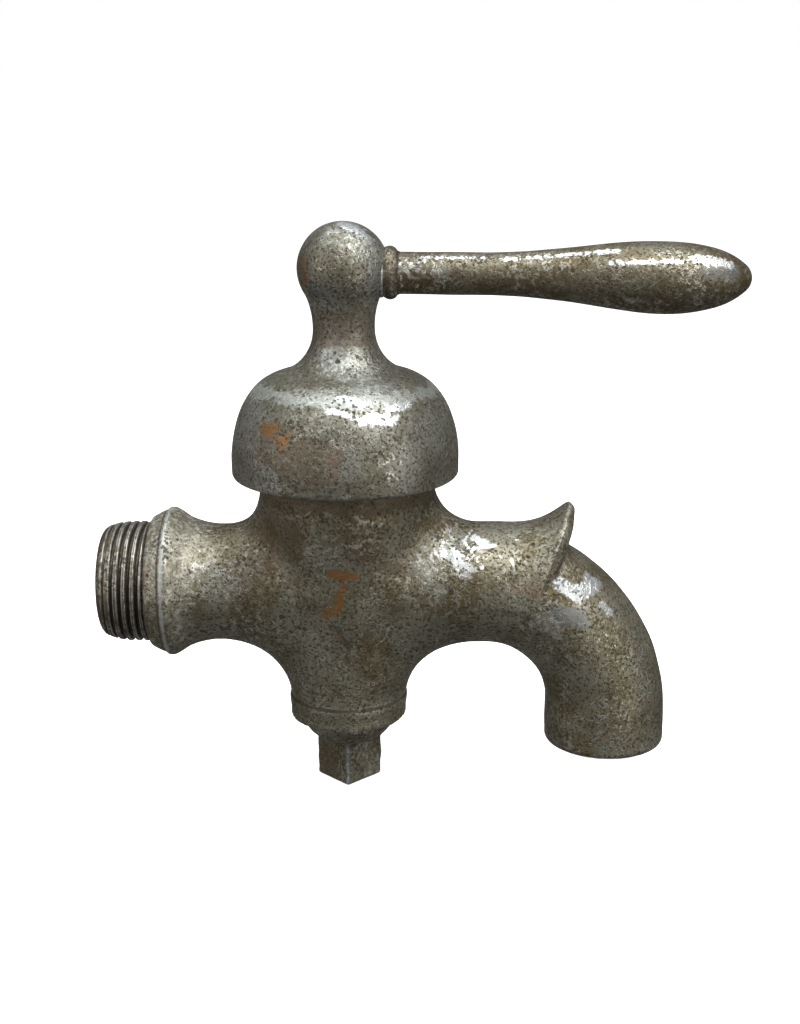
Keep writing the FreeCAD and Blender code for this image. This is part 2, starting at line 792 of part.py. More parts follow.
def pin_seat(body, name, circle, angle, radius):
    """Blind hole in the bonnet's flange for an upright pin."""
    before = volume_of(body)
    sketch = new_sketch(body, f"{name}_outline", "XY_Plane", lift=bonnet_top())
    draw_circle(sketch, radius + sheet.joint_gap, circle * cosine(angle), circle * sine(angle))
    item = feature(body, "Pocket", name, sketch)
    bind(item, "Length", sheet.pin_seat_depth)
    settle(body, before, grows=False)


def make_bonnet_gasket():
    """Fibre ring between the barrel's rim and the bonnet's flange."""
    body = new_body("bonnet_gasket")
    outer = RIM_RADIUS - sheet.bonnet_gasket_inset
    turn(body, "ring", [
        (BONNET_THREAD, BARREL_TOP),
        (outer, BARREL_TOP),
        (outer, bonnet_base()),
        (BONNET_THREAD, bonnet_base()),
    ])


def make_packing_rings():
    """Square-section packing rings stacked in the stuffing box."""
    rings = []
    inner = sheet.spindle_radius + sheet.joint_gap
    outer = PACKING_RADIUS - sheet.joint_gap
    for index in range(round(float(sheet.packing_count))):
        bottom = bonnet_top() + sheet.packing_floor + sheet.packing_ring * index
        tube = document.addObject("Part::Cylinder", f"packing_outer_{index}")
        core = document.addObject("Part::Cylinder", f"packing_inner_{index}")
        for solid, radius in ((tube, outer), (core, inner)):
            bind(solid, "Radius", radius)
            bind(solid, "Height", sheet.packing_ring - sheet.joint_gap)
            bind(solid, "Placement.Base.x", sheet.inlet_reach)
            bind(solid, "Placement.Base.z", bottom)
        ring = document.addObject("Part::Cut", f"packing_ring_{index}")
        ring.Base, ring.Tool = tube, core
        rings.append(ring)
    group = document.addObject("Part::Compound", "packing_rings")
    group.Links = rings


def gland_base():
    """Height of the top of the stack of packing."""
    return bonnet_top() + sheet.packing_floor + sheet.packing_ring * sheet.packing_count


def make_packing_gland():
    """Brass bush that presses on the packing."""
    body = new_body("packing_gland")
    inner = sheet.spindle_radius + sheet.running_gap
    outer = PACKING_RADIUS - sheet.running_gap
    turn(body, "bush", [
        (inner, gland_base()),
        (outer, gland_base()),
        (outer, gland_base() + sheet.gland_height),
        (inner, gland_base() + sheet.gland_height),
    ])


def make_packing_nut():
    """Hexagon nut over the stuffing box, bearing down on the gland."""
    body = new_body("packing_nut")
    roof_bottom = gland_base() + sheet.gland_height
    roof_top = roof_bottom + sheet.packing_nut_roof
    bottom = roof_top - sheet.packing_nut_height
    prism(body, "hexagon", polygon(6, PACKING_NUT_FLATS), bottom, roof_top)
    turn(body, "thread_and_hole", [
        (ZERO, bottom),
        (BOSS_RADIUS + sheet.joint_gap, bottom),
        (BOSS_RADIUS + sheet.joint_gap, roof_bottom),
        (sheet.spindle_radius + sheet.running_gap, roof_bottom),
        (sheet.spindle_radius + sheet.running_gap, roof_top),
        (ZERO, roof_top),
    ], cut=True)


# ---------------------------------------------------------------- bottom plug

def plug_base():
    """Height of the top of the plug's flange, under its gasket."""
    return sheet.stem_bottom - sheet.plug_gasket


def make_bottom_plug():
    """Screwed plug under the barrel: thread, domed flange and square wrench stub."""
    body = new_body("bottom_plug")
    top = sheet.stem_bottom + sheet.plug_thread_length
    thread = sheet.plug_thread - sheet.joint_gap
    dome_foot = plug_base() - sheet.plug_dome
    turn(body, "thread_and_dome", [
        (ZERO, top),
        (thread - sheet.plug_chamfer, top),
        (thread, top - sheet.plug_chamfer),
        (thread, plug_base()),
        (sheet.plug_flange_radius, plug_base()),
        (sheet.plug_flange_radius, plug_base() - sheet.plug_flange_edge,
         sheet.plug_dome_round, -1),
        (sheet.plug_neck_radius, dome_foot),
        (ZERO, dome_foot),
    ])
    prism(body, "wrench_square", polygon(4, sheet.plug_square),
          dome_foot - sheet.plug_square_length, dome_foot)
    stub_edges = upright_edges(body, dome_foot - sheet.plug_square_length, sheet.plug_square)
    before = volume_of(body)
    stub = body.Tip
    rounding = body.newObject("PartDesign::Fillet", "square_rounding")
    rounding.Base = (stub, stub_edges)
    bind(rounding, "Radius", sheet.plug_square_round)
    settle(body, before, grows=False)
    guide = sheet.guide_side + sheet.running_gap * 2
    stem_end = stem_thread_end() - sheet.guide_length
    floor = stem_end - sheet.valve_lift - sheet.guide_hole_floor
    prism(body, "guide_hole", polygon(4, guide, math.pi / 4), floor, top, cut=True)


def upright_edges(body, bottom, width):
    """Names of the wrench square's upright edges and of those round its end face."""
    names = []
    reach = float(width)
    for index, edge in enumerate(body.Shape.Edges):
        heights = [point.Z for point in (edge.Vertexes[0], edge.Vertexes[-1])]
        at_end = max(heights) < float(bottom) + NEAR
        upright = min(heights) < float(bottom) + NEAR and not at_end
        if upright or (at_end and abs(edge.Length - reach) < NEAR):
            names.append(f"Edge{index + 1}")
    return names


def make_plug_gasket():
    """Thin leather ring between the barrel's foot and the plug's flange."""
    body = new_body("bottom_plug_gasket")
    outer = sheet.plug_flange_radius - sheet.plug_gasket_inset
    turn(body, "ring", [
        (sheet.plug_thread, plug_base()),
        (outer, plug_base()),
        (outer, sheet.stem_bottom),
        (sheet.plug_thread, sheet.stem_bottom),
    ])


# ---------------------------------------------------------------- handle

def make_handle_bell():
    """Bell, neck and ball in one casting, with the stop lug inside the bell."""
    body = new_body("handle_bell")
    rim = sheet.rim_height
    skirt_top = rim + sheet.bell_skirt
    neck = rim + sheet.bell_neck_height
    inner = BELL_INNER
    ball_join = (sheet.ball_radius * cosine(sheet.ball_neck_angle),
                 sheet.ball_height - sheet.ball_radius * sine(sheet.ball_neck_angle))
    turn(body, "bell", [
        (inner, rim),
        (sheet.bell_radius - sheet.bell_rim_round, rim, sheet.bell_rim_round, 1),
        (sheet.bell_radius, rim + sheet.bell_rim_round),
        (sheet.bell_radius, skirt_top, sheet.skirt_arc, 1),
        (sheet.bell_radius - sheet.haunch_inset, skirt_top + sheet.haunch_rise,
         sheet.haunch_arc, 1),
        (sheet.bell_radius - sheet.shoulder_inset, SHOULDER_TOP - sheet.shoulder_drop,
         sheet.shoulder_arc, 1),
        (sheet.bell_radius - sheet.crown_inset, SHOULDER_TOP, sheet.crown_hollow, -1),
        (sheet.bell_neck_radius, neck, sheet.neck_hollow, -1),
        (*ball_join, sheet.ball_radius, 1),
        (ZERO, sheet.ball_height + sheet.ball_radius),
        (ZERO, HUB_BOTTOM),
        (sheet.bell_neck_radius, HUB_BOTTOM),
        (sheet.bell_neck_radius, HUB_BOTTOM - sheet.hub_boss),
        (inner - sheet.cavity_flat, HUB_BOTTOM - sheet.cavity_crown),
        (inner - sheet.cavity_shoulder, HUB_BOTTOM - sheet.cavity_shoulder_drop),
        (inner, HUB_BOTTOM - sheet.cavity_skirt_drop),
    ])
    lever_height = sheet.ball_height - sheet.lever_drop
    cross_bore(body, "lever_seat_face", sheet.lever_collar_radius + sheet.joint_gap,
               sheet.lever_seat, sheet.ball_radius + sheet.lever_face_run, lever_height)
    cross_bore(body, "lever_boss", sheet.lever_boss_radius, sheet.ball_radius / 2,
               sheet.lever_seat, lever_height, cut=False)
    square = sheet.spindle_square + sheet.joint_gap * 2
    prism(body, "square_hole", polygon(4, square, math.pi / 4), HUB_BOTTOM,
          SQUARE_TOP + sheet.square_end_gap, cut=True)
    tail_end = sheet.lever_seat - sheet.lever_tail
    cross_bore(body, "lever_hole", sheet.lever_thread + sheet.joint_gap, tail_end,
               sheet.lever_seat, lever_height)
    pin_bottom = spring_top() + sheet.spring_pitch * sheet.hook_hole_start
    prism_at(body, "hook_pin_hole", sheet.hook_pin_radius + sheet.joint_gap, hook_angle(),
             pin_bottom, hook_pin_top())
    make_stop_lug(body, inner)


def prism_at(body, name, radius, angle, bottom, top):
    """Round hole on the spring's circle, cut upwards into the bell."""
    before = volume_of(body)
    sketch = new_sketch(body, f"{name}_outline", "XY_Plane", lift=top)
    draw_circle(sketch, radius, SPRING_RADIUS * cosine(angle), SPRING_RADIUS * sine(angle))
    item = feature(body, "Pocket", name, sketch)
    bind(item, "Length", Size.of(top) - bottom)
    settle(body, before, grows=False)


def make_stop_lug(body, inner):
    """Lug on the inside of the skirt that swings between the two stop pins."""
    half = sheet.lug_width / 2
    outer = inner + sheet.bell_wall / 2
    nose = STOP_CIRCLE - sheet.lug_overlap
    bottom = bonnet_top() + sheet.lug_clearance
    corners = [(nose, -half), (outer, -half), (outer, half), (nose, half)]
    prism(body, "stop_lug", corners, bottom, bottom + sheet.lug_height, turn=sheet.lug_angle)


def make_lever_handle():
    """Bat lever: screwed tail, rounded shoulder, straight shank and club-shaped grip."""
    body = new_body("lever_handle")
    bind(body, "Placement.Base.z", sheet.ball_height - sheet.lever_drop)
    seat = sheet.lever_seat
    shoulder = seat + sheet.lever_collar
    widest = seat + sheet.lever_bat_place
    tip = seat + sheet.lever_length
    tip_centre = tip - sheet.lever_tip_radius
    shank_end = shoulder + sheet.lever_shank
    rear = (widest - sheet.bat_rear, sheet.lever_bat_radius - sheet.bat_rear_drop)
    front = (widest + sheet.bat_front, sheet.lever_bat_radius - sheet.bat_front_drop)
    tail_end = seat - sheet.lever_tail
    turn(body, "lever", [
        (tail_end, ZERO),
        (tail_end, sheet.lever_thread - sheet.lever_tail_chamfer),
        (tail_end + sheet.lever_tail_chamfer, sheet.lever_thread),
        (seat, sheet.lever_thread),
        (seat, sheet.lever_collar_radius - sheet.lever_collar_edge, sheet.lever_collar_edge, -1),
        (seat + sheet.lever_collar_edge, sheet.lever_collar_radius,
         sheet.lever_collar_round, -1),
        (shoulder, sheet.lever_shank_radius + sheet.lever_collar_step),
        (shoulder, sheet.lever_shank_radius),
        (shank_end, sheet.lever_shank_radius, sheet.lever_swell_arc, 1),
        (*rear, sheet.bat_rear_arc, -1),
        (widest, sheet.lever_bat_radius, sheet.bat_front_arc, -1),
        (*front, sheet.bat_end_arc, -1),
        (tip_centre + sheet.lever_tip_radius * cosine(sheet.lever_tip_angle),
         sheet.lever_tip_radius * sine(sheet.lever_tip_angle), sheet.lever_tip_radius, -1),
        (tip, ZERO),
    ], axis="H_Axis")


def make_spindle():
    """Spindle: square end in the ball, thrust collar, and cam sleeve round the valve stem."""
    body = new_body("spindle")
    collar_top = BONNET_BOTTOM - sheet.thrust_washer
    collar_bottom = collar_top - sheet.thrust_height
    bore = sheet.stem_shank + sheet.running_gap
    bore_top = sheet.sleeve_bottom + sheet.sleeve_bore_depth
    turn(body, "shank", [
        (ZERO, HUB_BOTTOM),
        (sheet.spindle_radius, HUB_BOTTOM),
        (sheet.spindle_radius, collar_top),
        (sheet.thrust_radius, collar_top),
        (sheet.thrust_radius, collar_bottom),
        (sheet.sleeve_radius, collar_bottom),
        (sheet.sleeve_radius, sheet.sleeve_bottom),
        (bore, sheet.sleeve_bottom),
        (bore, bore_top),
        (ZERO, bore_top),
    ])
    prism(body, "square", polygon(4, sheet.spindle_square, math.pi / 4), HUB_BOTTOM,
          SQUARE_TOP)
    cross_bore(body, "lever_hole", sheet.lever_thread + sheet.joint_gap, -sheet.spindle_square,
               sheet.spindle_square, sheet.ball_height - sheet.lever_drop)
    cut_cam_slots(body, bore)


def cut_cam_slots(body, bore):
    """Two opposite helical slots that drive the pin down as the spindle turns."""
    before = volume_of(body)
    sweep_angle = sheet.turn_angle + sheet.slot_margin * 2
    lead = sheet.valve_lift / sheet.turn_angle
    drop = lead * (sheet.turn_angle + sheet.slot_margin)
    bottom = sheet.drive_pin_height - drop
    swept = float(sheet.stem_shank) * math.radians(float(sheet.turn_angle))
    flank = math.cos(math.atan2(float(sheet.valve_lift), swept))
    half = (sheet.drive_pin_radius + sheet.running_gap * 2) / flank
    start = -(sheet.turn_angle + sheet.slot_margin - 90.0)
    outline = new_sketch(body, "cam_outline", turn=start, turn_axis=Vector(0, 1, 0))
    draw_path(outline, [
        (bore - sheet.slot_overlap, bottom - half),
        (sheet.sleeve_radius + sheet.slot_overlap, bottom - half),
        (sheet.sleeve_radius + sheet.slot_overlap, bottom + half),
        (bore - sheet.slot_overlap, bottom + half),
    ])
    slot = body.newObject("PartDesign::SubtractiveHelix", "cam_slot")
    slot.Profile = outline
    slot.ReferenceAxis = (outline, ["V_Axis"])
    slot.Mode = 0
    bind(slot, "Pitch", lead * 360.0)
    bind(slot, "Height", lead * sweep_angle)
    settle(body, before, grows=False)
    before = volume_of(body)
    pair = body.newObject("PartDesign::PolarPattern", "cam_slots")
    pair.Originals = [slot]
    pair.Axis = (outline, ["V_Axis"])
    pair.Angle = 360
    pair.Occurrences = 2
    body.Tip = pair
    settle(body, before, grows=False)


def make_thrust_washer():
    """Fibre washer that the spindle's collar turns against under the bonnet."""
    body = new_body("thrust_washer")
    top = BONNET_BOTTOM
    bottom = top - sheet.thrust_washer + sheet.joint_gap
    inner = sheet.spindle_radius + sheet.running_gap
    turn(body, "ring", [
        (inner, bottom), (sheet.thrust_radius, bottom), (sheet.thrust_radius, top), (inner, top)])


# ---------------------------------------------------------------- stops and return spring

def stop_angles():
    """Angles of the two stop pins, clear of the lug by the joint's gap at either end."""
    reach = sheet.lug_width / 2 + sheet.stop_pin_radius + sheet.joint_gap
    lean = arcsine(reach / STOP_CIRCLE)
    return {
        "stop_shut_seat": sheet.lug_angle - lean,
        "stop_open_seat": sheet.lug_angle + sheet.turn_angle + lean,
    }


def arcsine(ratio):
    """Angle in degrees whose sine is this ratio, as a Size."""
    return Size(math.degrees(math.asin(float(ratio))), f"(asin({ratio.formula}) / 1 deg)")


def beside_spring_end(pin_radius):
    """Angle on the spring's circle taken by a pin that touches the cut end of its wire."""
    return arcsine((pin_radius + sheet.spring_clearance) / SPRING_RADIUS)


def anchor_angle():
    return -beside_spring_end(sheet.stop_pin_radius)


def hook_angle():
    return beside_spring_end(sheet.hook_pin_radius)


def make_stop_pins():
    """Two pins upright in the bonnet's flange that end the lever's travel."""
    pins = []
    for name, angle in stop_angles().items():
        circle = STOP_CIRCLE
        place = (circle * cosine(angle), circle * sine(angle), bonnet_top() - sheet.pin_seat_depth)
        height = sheet.pin_seat_depth + sheet.stop_pin_height
        pins.append(cylinder(name.replace("_seat", "_pin"), sheet.stop_pin_radius, height, place))
    group = document.addObject("Part::Compound", "stop_pins")
    group.Links = pins


def spring_bottom():
    """Height of the wire's centre where the spring begins."""
    return bonnet_top() + sheet.spring_wire + sheet.spring_clearance


def spring_top():
    """Height of the wire's centre where the spring ends."""
    return spring_bottom() + sheet.spring_pitch * sheet.spring_turns


def make_spring_anchor_pin():
    """Pin in the bonnet's flange that holds the lower end of the spring."""
    angle = anchor_angle()
    place = (SPRING_RADIUS * cosine(angle), SPRING_RADIUS * sine(angle),
             bonnet_top() - sheet.pin_seat_depth)
    cylinder("spring_anchor_pin", sheet.stop_pin_radius, sheet.pin_seat_depth + sheet.spring_pitch,
             place)


def hook_pin_top():
    """Top of the hook pin's hole in the bell's crown."""
    return HUB_BOTTOM - sheet.hook_pin_seat


def make_spring_hook_pin():
    """Pin down from the bell's crown that the upper end of the spring bears on."""
    angle = hook_angle()
    bottom = spring_top() - sheet.spring_wire / 2
    place = (SPRING_RADIUS * cosine(angle), SPRING_RADIUS * sine(angle), bottom)
    cylinder("spring_hook_pin", sheet.hook_pin_radius, hook_pin_top() - bottom, place)


def make_return_spring():
    """Torsion coil round the packing nut that swings the lever back."""
    coil = document.addObject("Part::Helix", "spring_path")
    bind(coil, "Pitch", sheet.spring_pitch)
    bind(coil, "Height", sheet.spring_pitch * sheet.spring_turns)
    bind(coil, "Radius", SPRING_RADIUS)
    wire = document.addObject("Part::Circle", "spring_section")
    bind(wire, "Radius", sheet.spring_wire)
    wire.Placement = Placement(Vector(), Rotation(Vector(1, 0, 0), 90))
    bind(wire, "Placement.Base.x", SPRING_RADIUS)
    spring = document.addObject("Part::Sweep", "return_spring")
    spring.Sections = [wire]
    spring.Spine = (coil, [])
    spring.Solid = True
    spring.Frenet = True
    bind(spring, "Placement.Base.x", sheet.inlet_reach)
    bind(spring, "Placement.Base.z", spring_bottom())


MAKERS = {
    "faucet_body": make_faucet_body,
    "seat_ring": make_seat_ring,
    "bonnet": make_bonnet,
    "bonnet_gasket": make_bonnet_gasket,
    "packing_rings": make_packing_rings,
    "packing_gland": make_packing_gland,
    "packing_nut": make_packing_nut,
    "bottom_plug": make_bottom_plug,
    "bottom_plug_gasket": make_plug_gasket,
    "stop_pins": make_stop_pins,
    "spring_anchor_pin": make_spring_anchor_pin,
    "thrust_washer": make_thrust_washer,
    "handle_bell": make_handle_bell,
    "lever_handle": make_lever_handle,
    "spindle": make_spindle,
    "spring_hook_pin": make_spring_hook_pin,
    "return_spring": make_return_spring,
    "valve_stem": make_valve_stem,
    "drive_pin": make_drive_pin,
    "washer_cup": make_washer_cup,
    "valve_washer": make_valve_washer,
    "washer_nut": make_washer_nut,
}


def write_parts():
    """Check every object and write each piece to its own file."""
    for item in document.Objects:
        if {"Invalid", "Error"} & set(item.State):
            raise ValueError(f"{item.Name} did not compute: {item.State}")
    pieces = [document.getObject(name) for name in MAKERS]
    for piece in pieces:
        if piece.Shape.isNull() or not piece.Shape.isValid() or not piece.Shape.Solids:
            raise ValueError(f"{piece.Name} is not a valid solid")
    os.makedirs("parts", exist_ok=True)
    for piece in pieces:
        piece.Shape.exportStep(f"parts/{piece.Name}.step")
        print(f"{piece.Name}: {len(piece.Shape.Solids)} solids, {piece.Shape.Volume:.1f} mm3")


for make in MAKERS.values():
    make()
document.recompute()
write_parts()
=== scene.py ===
"""Looks of a self-closing lever faucet in worn nickel plate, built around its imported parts."""
import json
import logging
import math
from collections.abc import Callable, Sequence
from dataclasses import dataclass, field
from enum import Enum

import bpy
import numpy as np
from mathutils import Matrix, Vector


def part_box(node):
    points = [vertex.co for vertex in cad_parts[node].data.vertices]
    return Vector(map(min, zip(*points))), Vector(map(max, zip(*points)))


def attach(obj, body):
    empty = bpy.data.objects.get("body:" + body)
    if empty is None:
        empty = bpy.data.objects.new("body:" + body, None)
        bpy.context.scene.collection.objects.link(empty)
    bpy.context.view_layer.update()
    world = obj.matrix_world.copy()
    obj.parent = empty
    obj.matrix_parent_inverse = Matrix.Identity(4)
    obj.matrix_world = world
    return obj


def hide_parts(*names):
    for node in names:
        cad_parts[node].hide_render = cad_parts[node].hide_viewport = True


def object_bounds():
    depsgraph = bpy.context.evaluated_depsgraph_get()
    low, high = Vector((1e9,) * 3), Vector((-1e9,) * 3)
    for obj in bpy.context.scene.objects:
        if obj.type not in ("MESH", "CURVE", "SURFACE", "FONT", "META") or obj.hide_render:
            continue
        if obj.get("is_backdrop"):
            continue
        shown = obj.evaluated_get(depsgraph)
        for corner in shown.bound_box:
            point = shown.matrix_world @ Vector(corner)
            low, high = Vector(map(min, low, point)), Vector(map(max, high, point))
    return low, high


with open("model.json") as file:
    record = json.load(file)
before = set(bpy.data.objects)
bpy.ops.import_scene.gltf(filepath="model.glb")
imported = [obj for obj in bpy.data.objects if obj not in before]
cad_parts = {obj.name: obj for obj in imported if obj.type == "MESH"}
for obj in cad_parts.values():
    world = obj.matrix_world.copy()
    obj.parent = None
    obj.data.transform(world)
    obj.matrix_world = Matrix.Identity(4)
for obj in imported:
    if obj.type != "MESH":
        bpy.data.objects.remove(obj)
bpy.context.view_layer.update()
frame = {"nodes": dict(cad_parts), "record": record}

MM = 0.001
NODES = frame["nodes"]
log = logging.getLogger("faucet")

Field = Callable[[np.ndarray, np.ndarray, np.ndarray], np.ndarray]


# ---------------------------------------------------------------- places taken from the frame

def box_mm(node: str) -> tuple[np.ndarray, np.ndarray]:
    """Give a part's lowest and highest corners.

    Args:
        node: name of the part.

    Returns:
        The two corners in millimetres.
    """
    low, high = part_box(node)
    return np.array(low) / MM, np.array(high) / MM


BONNET_LOW, BONNET_HIGH = box_mm("bonnet")
BODY_LOW, BODY_HIGH = box_mm("faucet_body")
BELL_LOW, BELL_HIGH = box_mm("handle_bell")
LEVER_LOW, LEVER_HIGH = box_mm("lever_handle")
PLUG_LOW, _ = box_mm("bottom_plug")
AXIS_X = float(BONNET_LOW[0] + BONNET_HIGH[0]) / 2
RIM_HEIGHT = float(BELL_LOW[2])
BODY_TOP = float(BODY_HIGH[2])
OUTLET_HEIGHT = float(BODY_LOW[2])
LEVER_HEIGHT = float(LEVER_LOW[2] + LEVER_HIGH[2]) / 2


# ---------------------------------------------------------------- mesh making

def smooth_union(first: np.ndarray, second: np.ndarray, blend: float) -> np.ndarray:
    """Join two distance fields with a rounded hollow between them.

    Args:
        first: distances to one shape.
        second: distances to the other.
        blend: width of the rounding.

    Returns:
        Distances to the joined shape.
    """
    share = np.clip(0.5 + 0.5 * (second - first) / blend, 0.0, 1.0)
    return second * (1 - share) + first * share - blend * share * (1 - share)


def smooth_cut(shape: np.ndarray, tool: np.ndarray, blend: float) -> np.ndarray:
    """Take a tool away from a shape, leaving a rounded edge of this width."""
    return -smooth_union(-shape, tool, blend)


def bevelled(shape: np.ndarray, face: np.ndarray, bevel: float) -> np.ndarray:
    """Keep the part of a shape behind a face, with a flat bevel along the edge."""
    return np.maximum(np.maximum(shape, face), (shape + face + bevel) * math.sqrt(0.5))


class Fair:
    """A smooth line through stations, used for a radius that changes along an axis."""

    def __init__(self, stations: Sequence[float], values: Sequence[float]) -> None:
        """Keep the stations, in rising order, and the slopes of the line at them.

        Args:
            stations: places along the axis, in rising order.
            values: the line's value at each.
        """
        self.stations = np.array(stations, float)
        self.values = np.array(values, float)
        steep = np.diff(self.values) / np.diff(self.stations)
        before, after = steep[:-1], steep[1:]
        level = before * after <= 0
        between = np.where(level, 0.0, 2 * before * after / np.where(level, 1.0, before + after))
        self.slopes = np.concatenate([steep[:1], between, steep[-1:]])

    def __call__(self, places: np.ndarray) -> np.ndarray:
        """Give the line's value at each place.

        Args:
            places: places along the axis.

        Returns:
            The values.
        """
        index = np.clip(np.searchsorted(self.stations, places) - 1, 0, len(self.stations) - 2)
        start, step = self.stations[index], np.diff(self.stations)[index]
        part = np.clip((places - start) / step, 0.0, 1.0)
        square, cube = part ** 2, part ** 3
        return ((2 * cube - 3 * square + 1) * self.values[index]
                + (cube - 2 * square + part) * step * self.slopes[index]
                + (3 * square - 2 * cube) * self.values[index + 1]
                + (cube - square) * step * self.slopes[index + 1])

    def distance(self, along: np.ndarray, across: np.ndarray) -> np.ndarray:
        """Give roughly the distance to the surface turned from this line.

        Args:
            along: places along the axis.
            across: distances from it.

        Returns:
            The distances, below nought inside.
        """
        nudge = 0.1
        slope = (self(along + nudge) - self(along - nudge)) / (2 * nudge)
        return (across - self(along)) / np.sqrt(1 + slope ** 2)


@dataclass(frozen=True)
class Ripple:
    """Slow waviness of a hand-finished casting."""

    height: float = 0.05
    waves: int = 9
    longest: float = 26.0
    shortest: float = 7.0
    seed: int = 4

    def __call__(self, x: np.ndarray, y: np.ndarray, z: np.ndarray) -> np.ndarray:
        """Give the height of the surface above its true shape, in millimetres.

        Args:
            x: places along the inlet, from the barrel's axis.
            y: places across it.
            z: heights.

        Returns:
            The heights.
        """
        draw = np.random.default_rng(self.seed)
        total = np.zeros_like(x)
        for _ in range(self.waves):
            heading = draw.normal(size=3)
            heading *= 2 * math.pi / (np.linalg.norm(heading)
                                      * draw.uniform(self.shortest, self.longest))
            total += np.sin(x * heading[0] + y * heading[1] + z * heading[2]
                            + draw.uniform(0, 2 * math.pi))
        return total * self.height / math.sqrt(self.waves)


def gradient(shape: Field, points: np.ndarray, step: float = 0.05) -> np.ndarray:
    """Slope of a distance field at points, by differences.

    Args:
        shape: the field.
        points: where to look.
        step: how far apart the two looks are.

    Returns:
        The slope at each point.
    """
    slopes = np.empty_like(points)
    for axis in range(3):
        ahead, behind = points.copy(), points.copy()
        ahead[:, axis] += step
        behind[:, axis] -= step
        slopes[:, axis] = (shape(*ahead.T) - shape(*behind.T)) / (2 * step)
    return slopes


def settle_on(shape: Field, points: np.ndarray, limit: float, rounds: int) -> np.ndarray:
    """Move points on to the surface of a distance field.

    Args:
        shape: the field.
        points: places near its surface.
        limit: farthest that a point may move in one round.
        rounds: how often each point moves.

    Returns:
        The moved points.
    """
    for _ in range(rounds):
        slope = gradient(shape, points)
        size = np.maximum((slope ** 2).sum(axis=1), 0.05)
        move = slope * (shape(*points.T) / size)[:, None]
        length = np.maximum(np.linalg.norm(move, axis=1), 1e-9)[:, None]
        points = points - move * np.minimum(1.0, limit / length)
    return points


def skin(shape: Field, low: Sequence[float], high: Sequence[float],
         cell: float) -> tuple[np.ndarray, np.ndarray]:
    """Cover the surface of a distance field with four-sided faces.

    Args:
        shape: the field, negative inside.
        low: lowest corner of the space to look in.
        high: its highest corner.
        cell: length of one face's side.

    Returns:
        The corners and the faces.
    """
    axes = [np.arange(a, b + cell, cell) for a, b in zip(low, high)]
    grid = shape(*np.meshgrid(*axes, indexing="ij"))
    inside = grid < 0
    count = np.zeros(tuple(n - 1 for n in grid.shape), np.int8)
    for i, j, k in np.ndindex(2, 2, 2):
        count += inside[i:i + count.shape[0], j:j + count.shape[1], k:k + count.shape[2]]
    cells = np.argwhere((count > 0) & (count < 8))
    order = -np.ones(count.shape, np.int64)
    order[tuple(cells.T)] = np.arange(len(cells))
    total, crossings = np.zeros((len(cells), 3)), np.zeros(len(cells))
    for axis in range(3):
        for first, second in np.ndindex(2, 2):
            start = np.zeros(3, int)
            start[[other for other in range(3) if other != axis]] = first, second
            finish = start.copy()
            finish[axis] = 1
            near, far = grid[tuple((cells + start).T)], grid[tuple((cells + finish).T)]
            crossed = (near < 0) != (far < 0)
            part = np.where(crossed, near / np.where(crossed, near - far, 1.0), 0.0)
            place = start + part[:, None] * (finish - start)
            total += place * crossed[:, None]
            crossings += crossed
    points = np.array(low) + cell * (cells + total / crossings[:, None])
    faces = []
    for axis in range(3):
        one, two = (axis + 1) % 3, (axis + 2) % 3
        ahead = np.roll(inside, -1, axis)
        crossed = ahead != inside
        crossed[tuple(slice(-1, None) if a == axis else slice(None) for a in range(3))] = False
        places = np.argwhere(crossed)
        places = places[(places[:, one] > 0) & (places[:, two] > 0)]
        places = places[(places[:, one] < grid.shape[one] - 1)
                        & (places[:, two] < grid.shape[two] - 1)]
        ring = []
        for a, b in ((0, 0), (-1, 0), (-1, -1), (0, -1)):
            neighbour = places.copy()
            neighbour[:, one] += a
            neighbour[:, two] += b
            ring.append(order[tuple(neighbour.T)])
        quads = np.stack(ring, axis=1)
        outward = inside[tuple(places.T)]
        quads[~outward] = quads[~outward][:, ::-1]
        faces.append(quads)
    faces = np.concatenate(faces)
    edges = np.concatenate([faces[:, [a, (a + 1) % 4]] for a in range(4)])
    points = settle_on(shape, points, cell / 2, 2)
    for _ in range(2):
        sums = np.zeros_like(points)
        for a, b in (edges.T, edges.T[::-1]):
            for axis in range(3):
                sums[:, axis] += np.bincount(a, points[b, axis], len(points))
        near = np.bincount(edges.ravel(), minlength=len(points))[:, None]
        points = settle_on(shape, (points + sums / near) / 2, cell / 2, 1)
    return settle_on(shape, points, cell / 3, 1), faces


def four_sided(name: str, points: np.ndarray, faces: np.ndarray) -> bpy.types.Object:
    """Make an object from millimetre points about the barrel's axis and four-sided faces.

    Args:
        name: the piece's name.
        points: its corners.
        faces: four corners for each face.

    Returns:
        The object.
    """
    mesh = bpy.data.meshes.new(name)
    places = (points + np.array([AXIS_X, 0.0, 0.0])) * MM
    mesh.vertices.add(len(places))
    mesh.vertices.foreach_set("co", places.ravel())
    mesh.loops.add(faces.size)
    mesh.loops.foreach_set("vertex_index", faces.ravel())
    mesh.polygons.add(len(faces))
    mesh.polygons.foreach_set("loop_start", np.arange(0, faces.size, 4))
    mesh.update(calc_edges=True)
    mesh.validate()
    return finish_mesh(name, mesh)


def finish_mesh(name: str, mesh: bpy.types.Mesh) -> bpy.types.Object:
    """Shade a mesh smooth, note where it bends, and put it in the scene as an object.

    Args:
        name: the piece's name.
        mesh: its mesh.

    Returns:
        The object.
    """
    mesh.polygons.foreach_set("use_smooth", np.ones(len(mesh.polygons), bool))
    note_bends(mesh)
    piece = bpy.data.objects.new(name, mesh)
    bpy.context.scene.collection.objects.link(piece)
    return piece


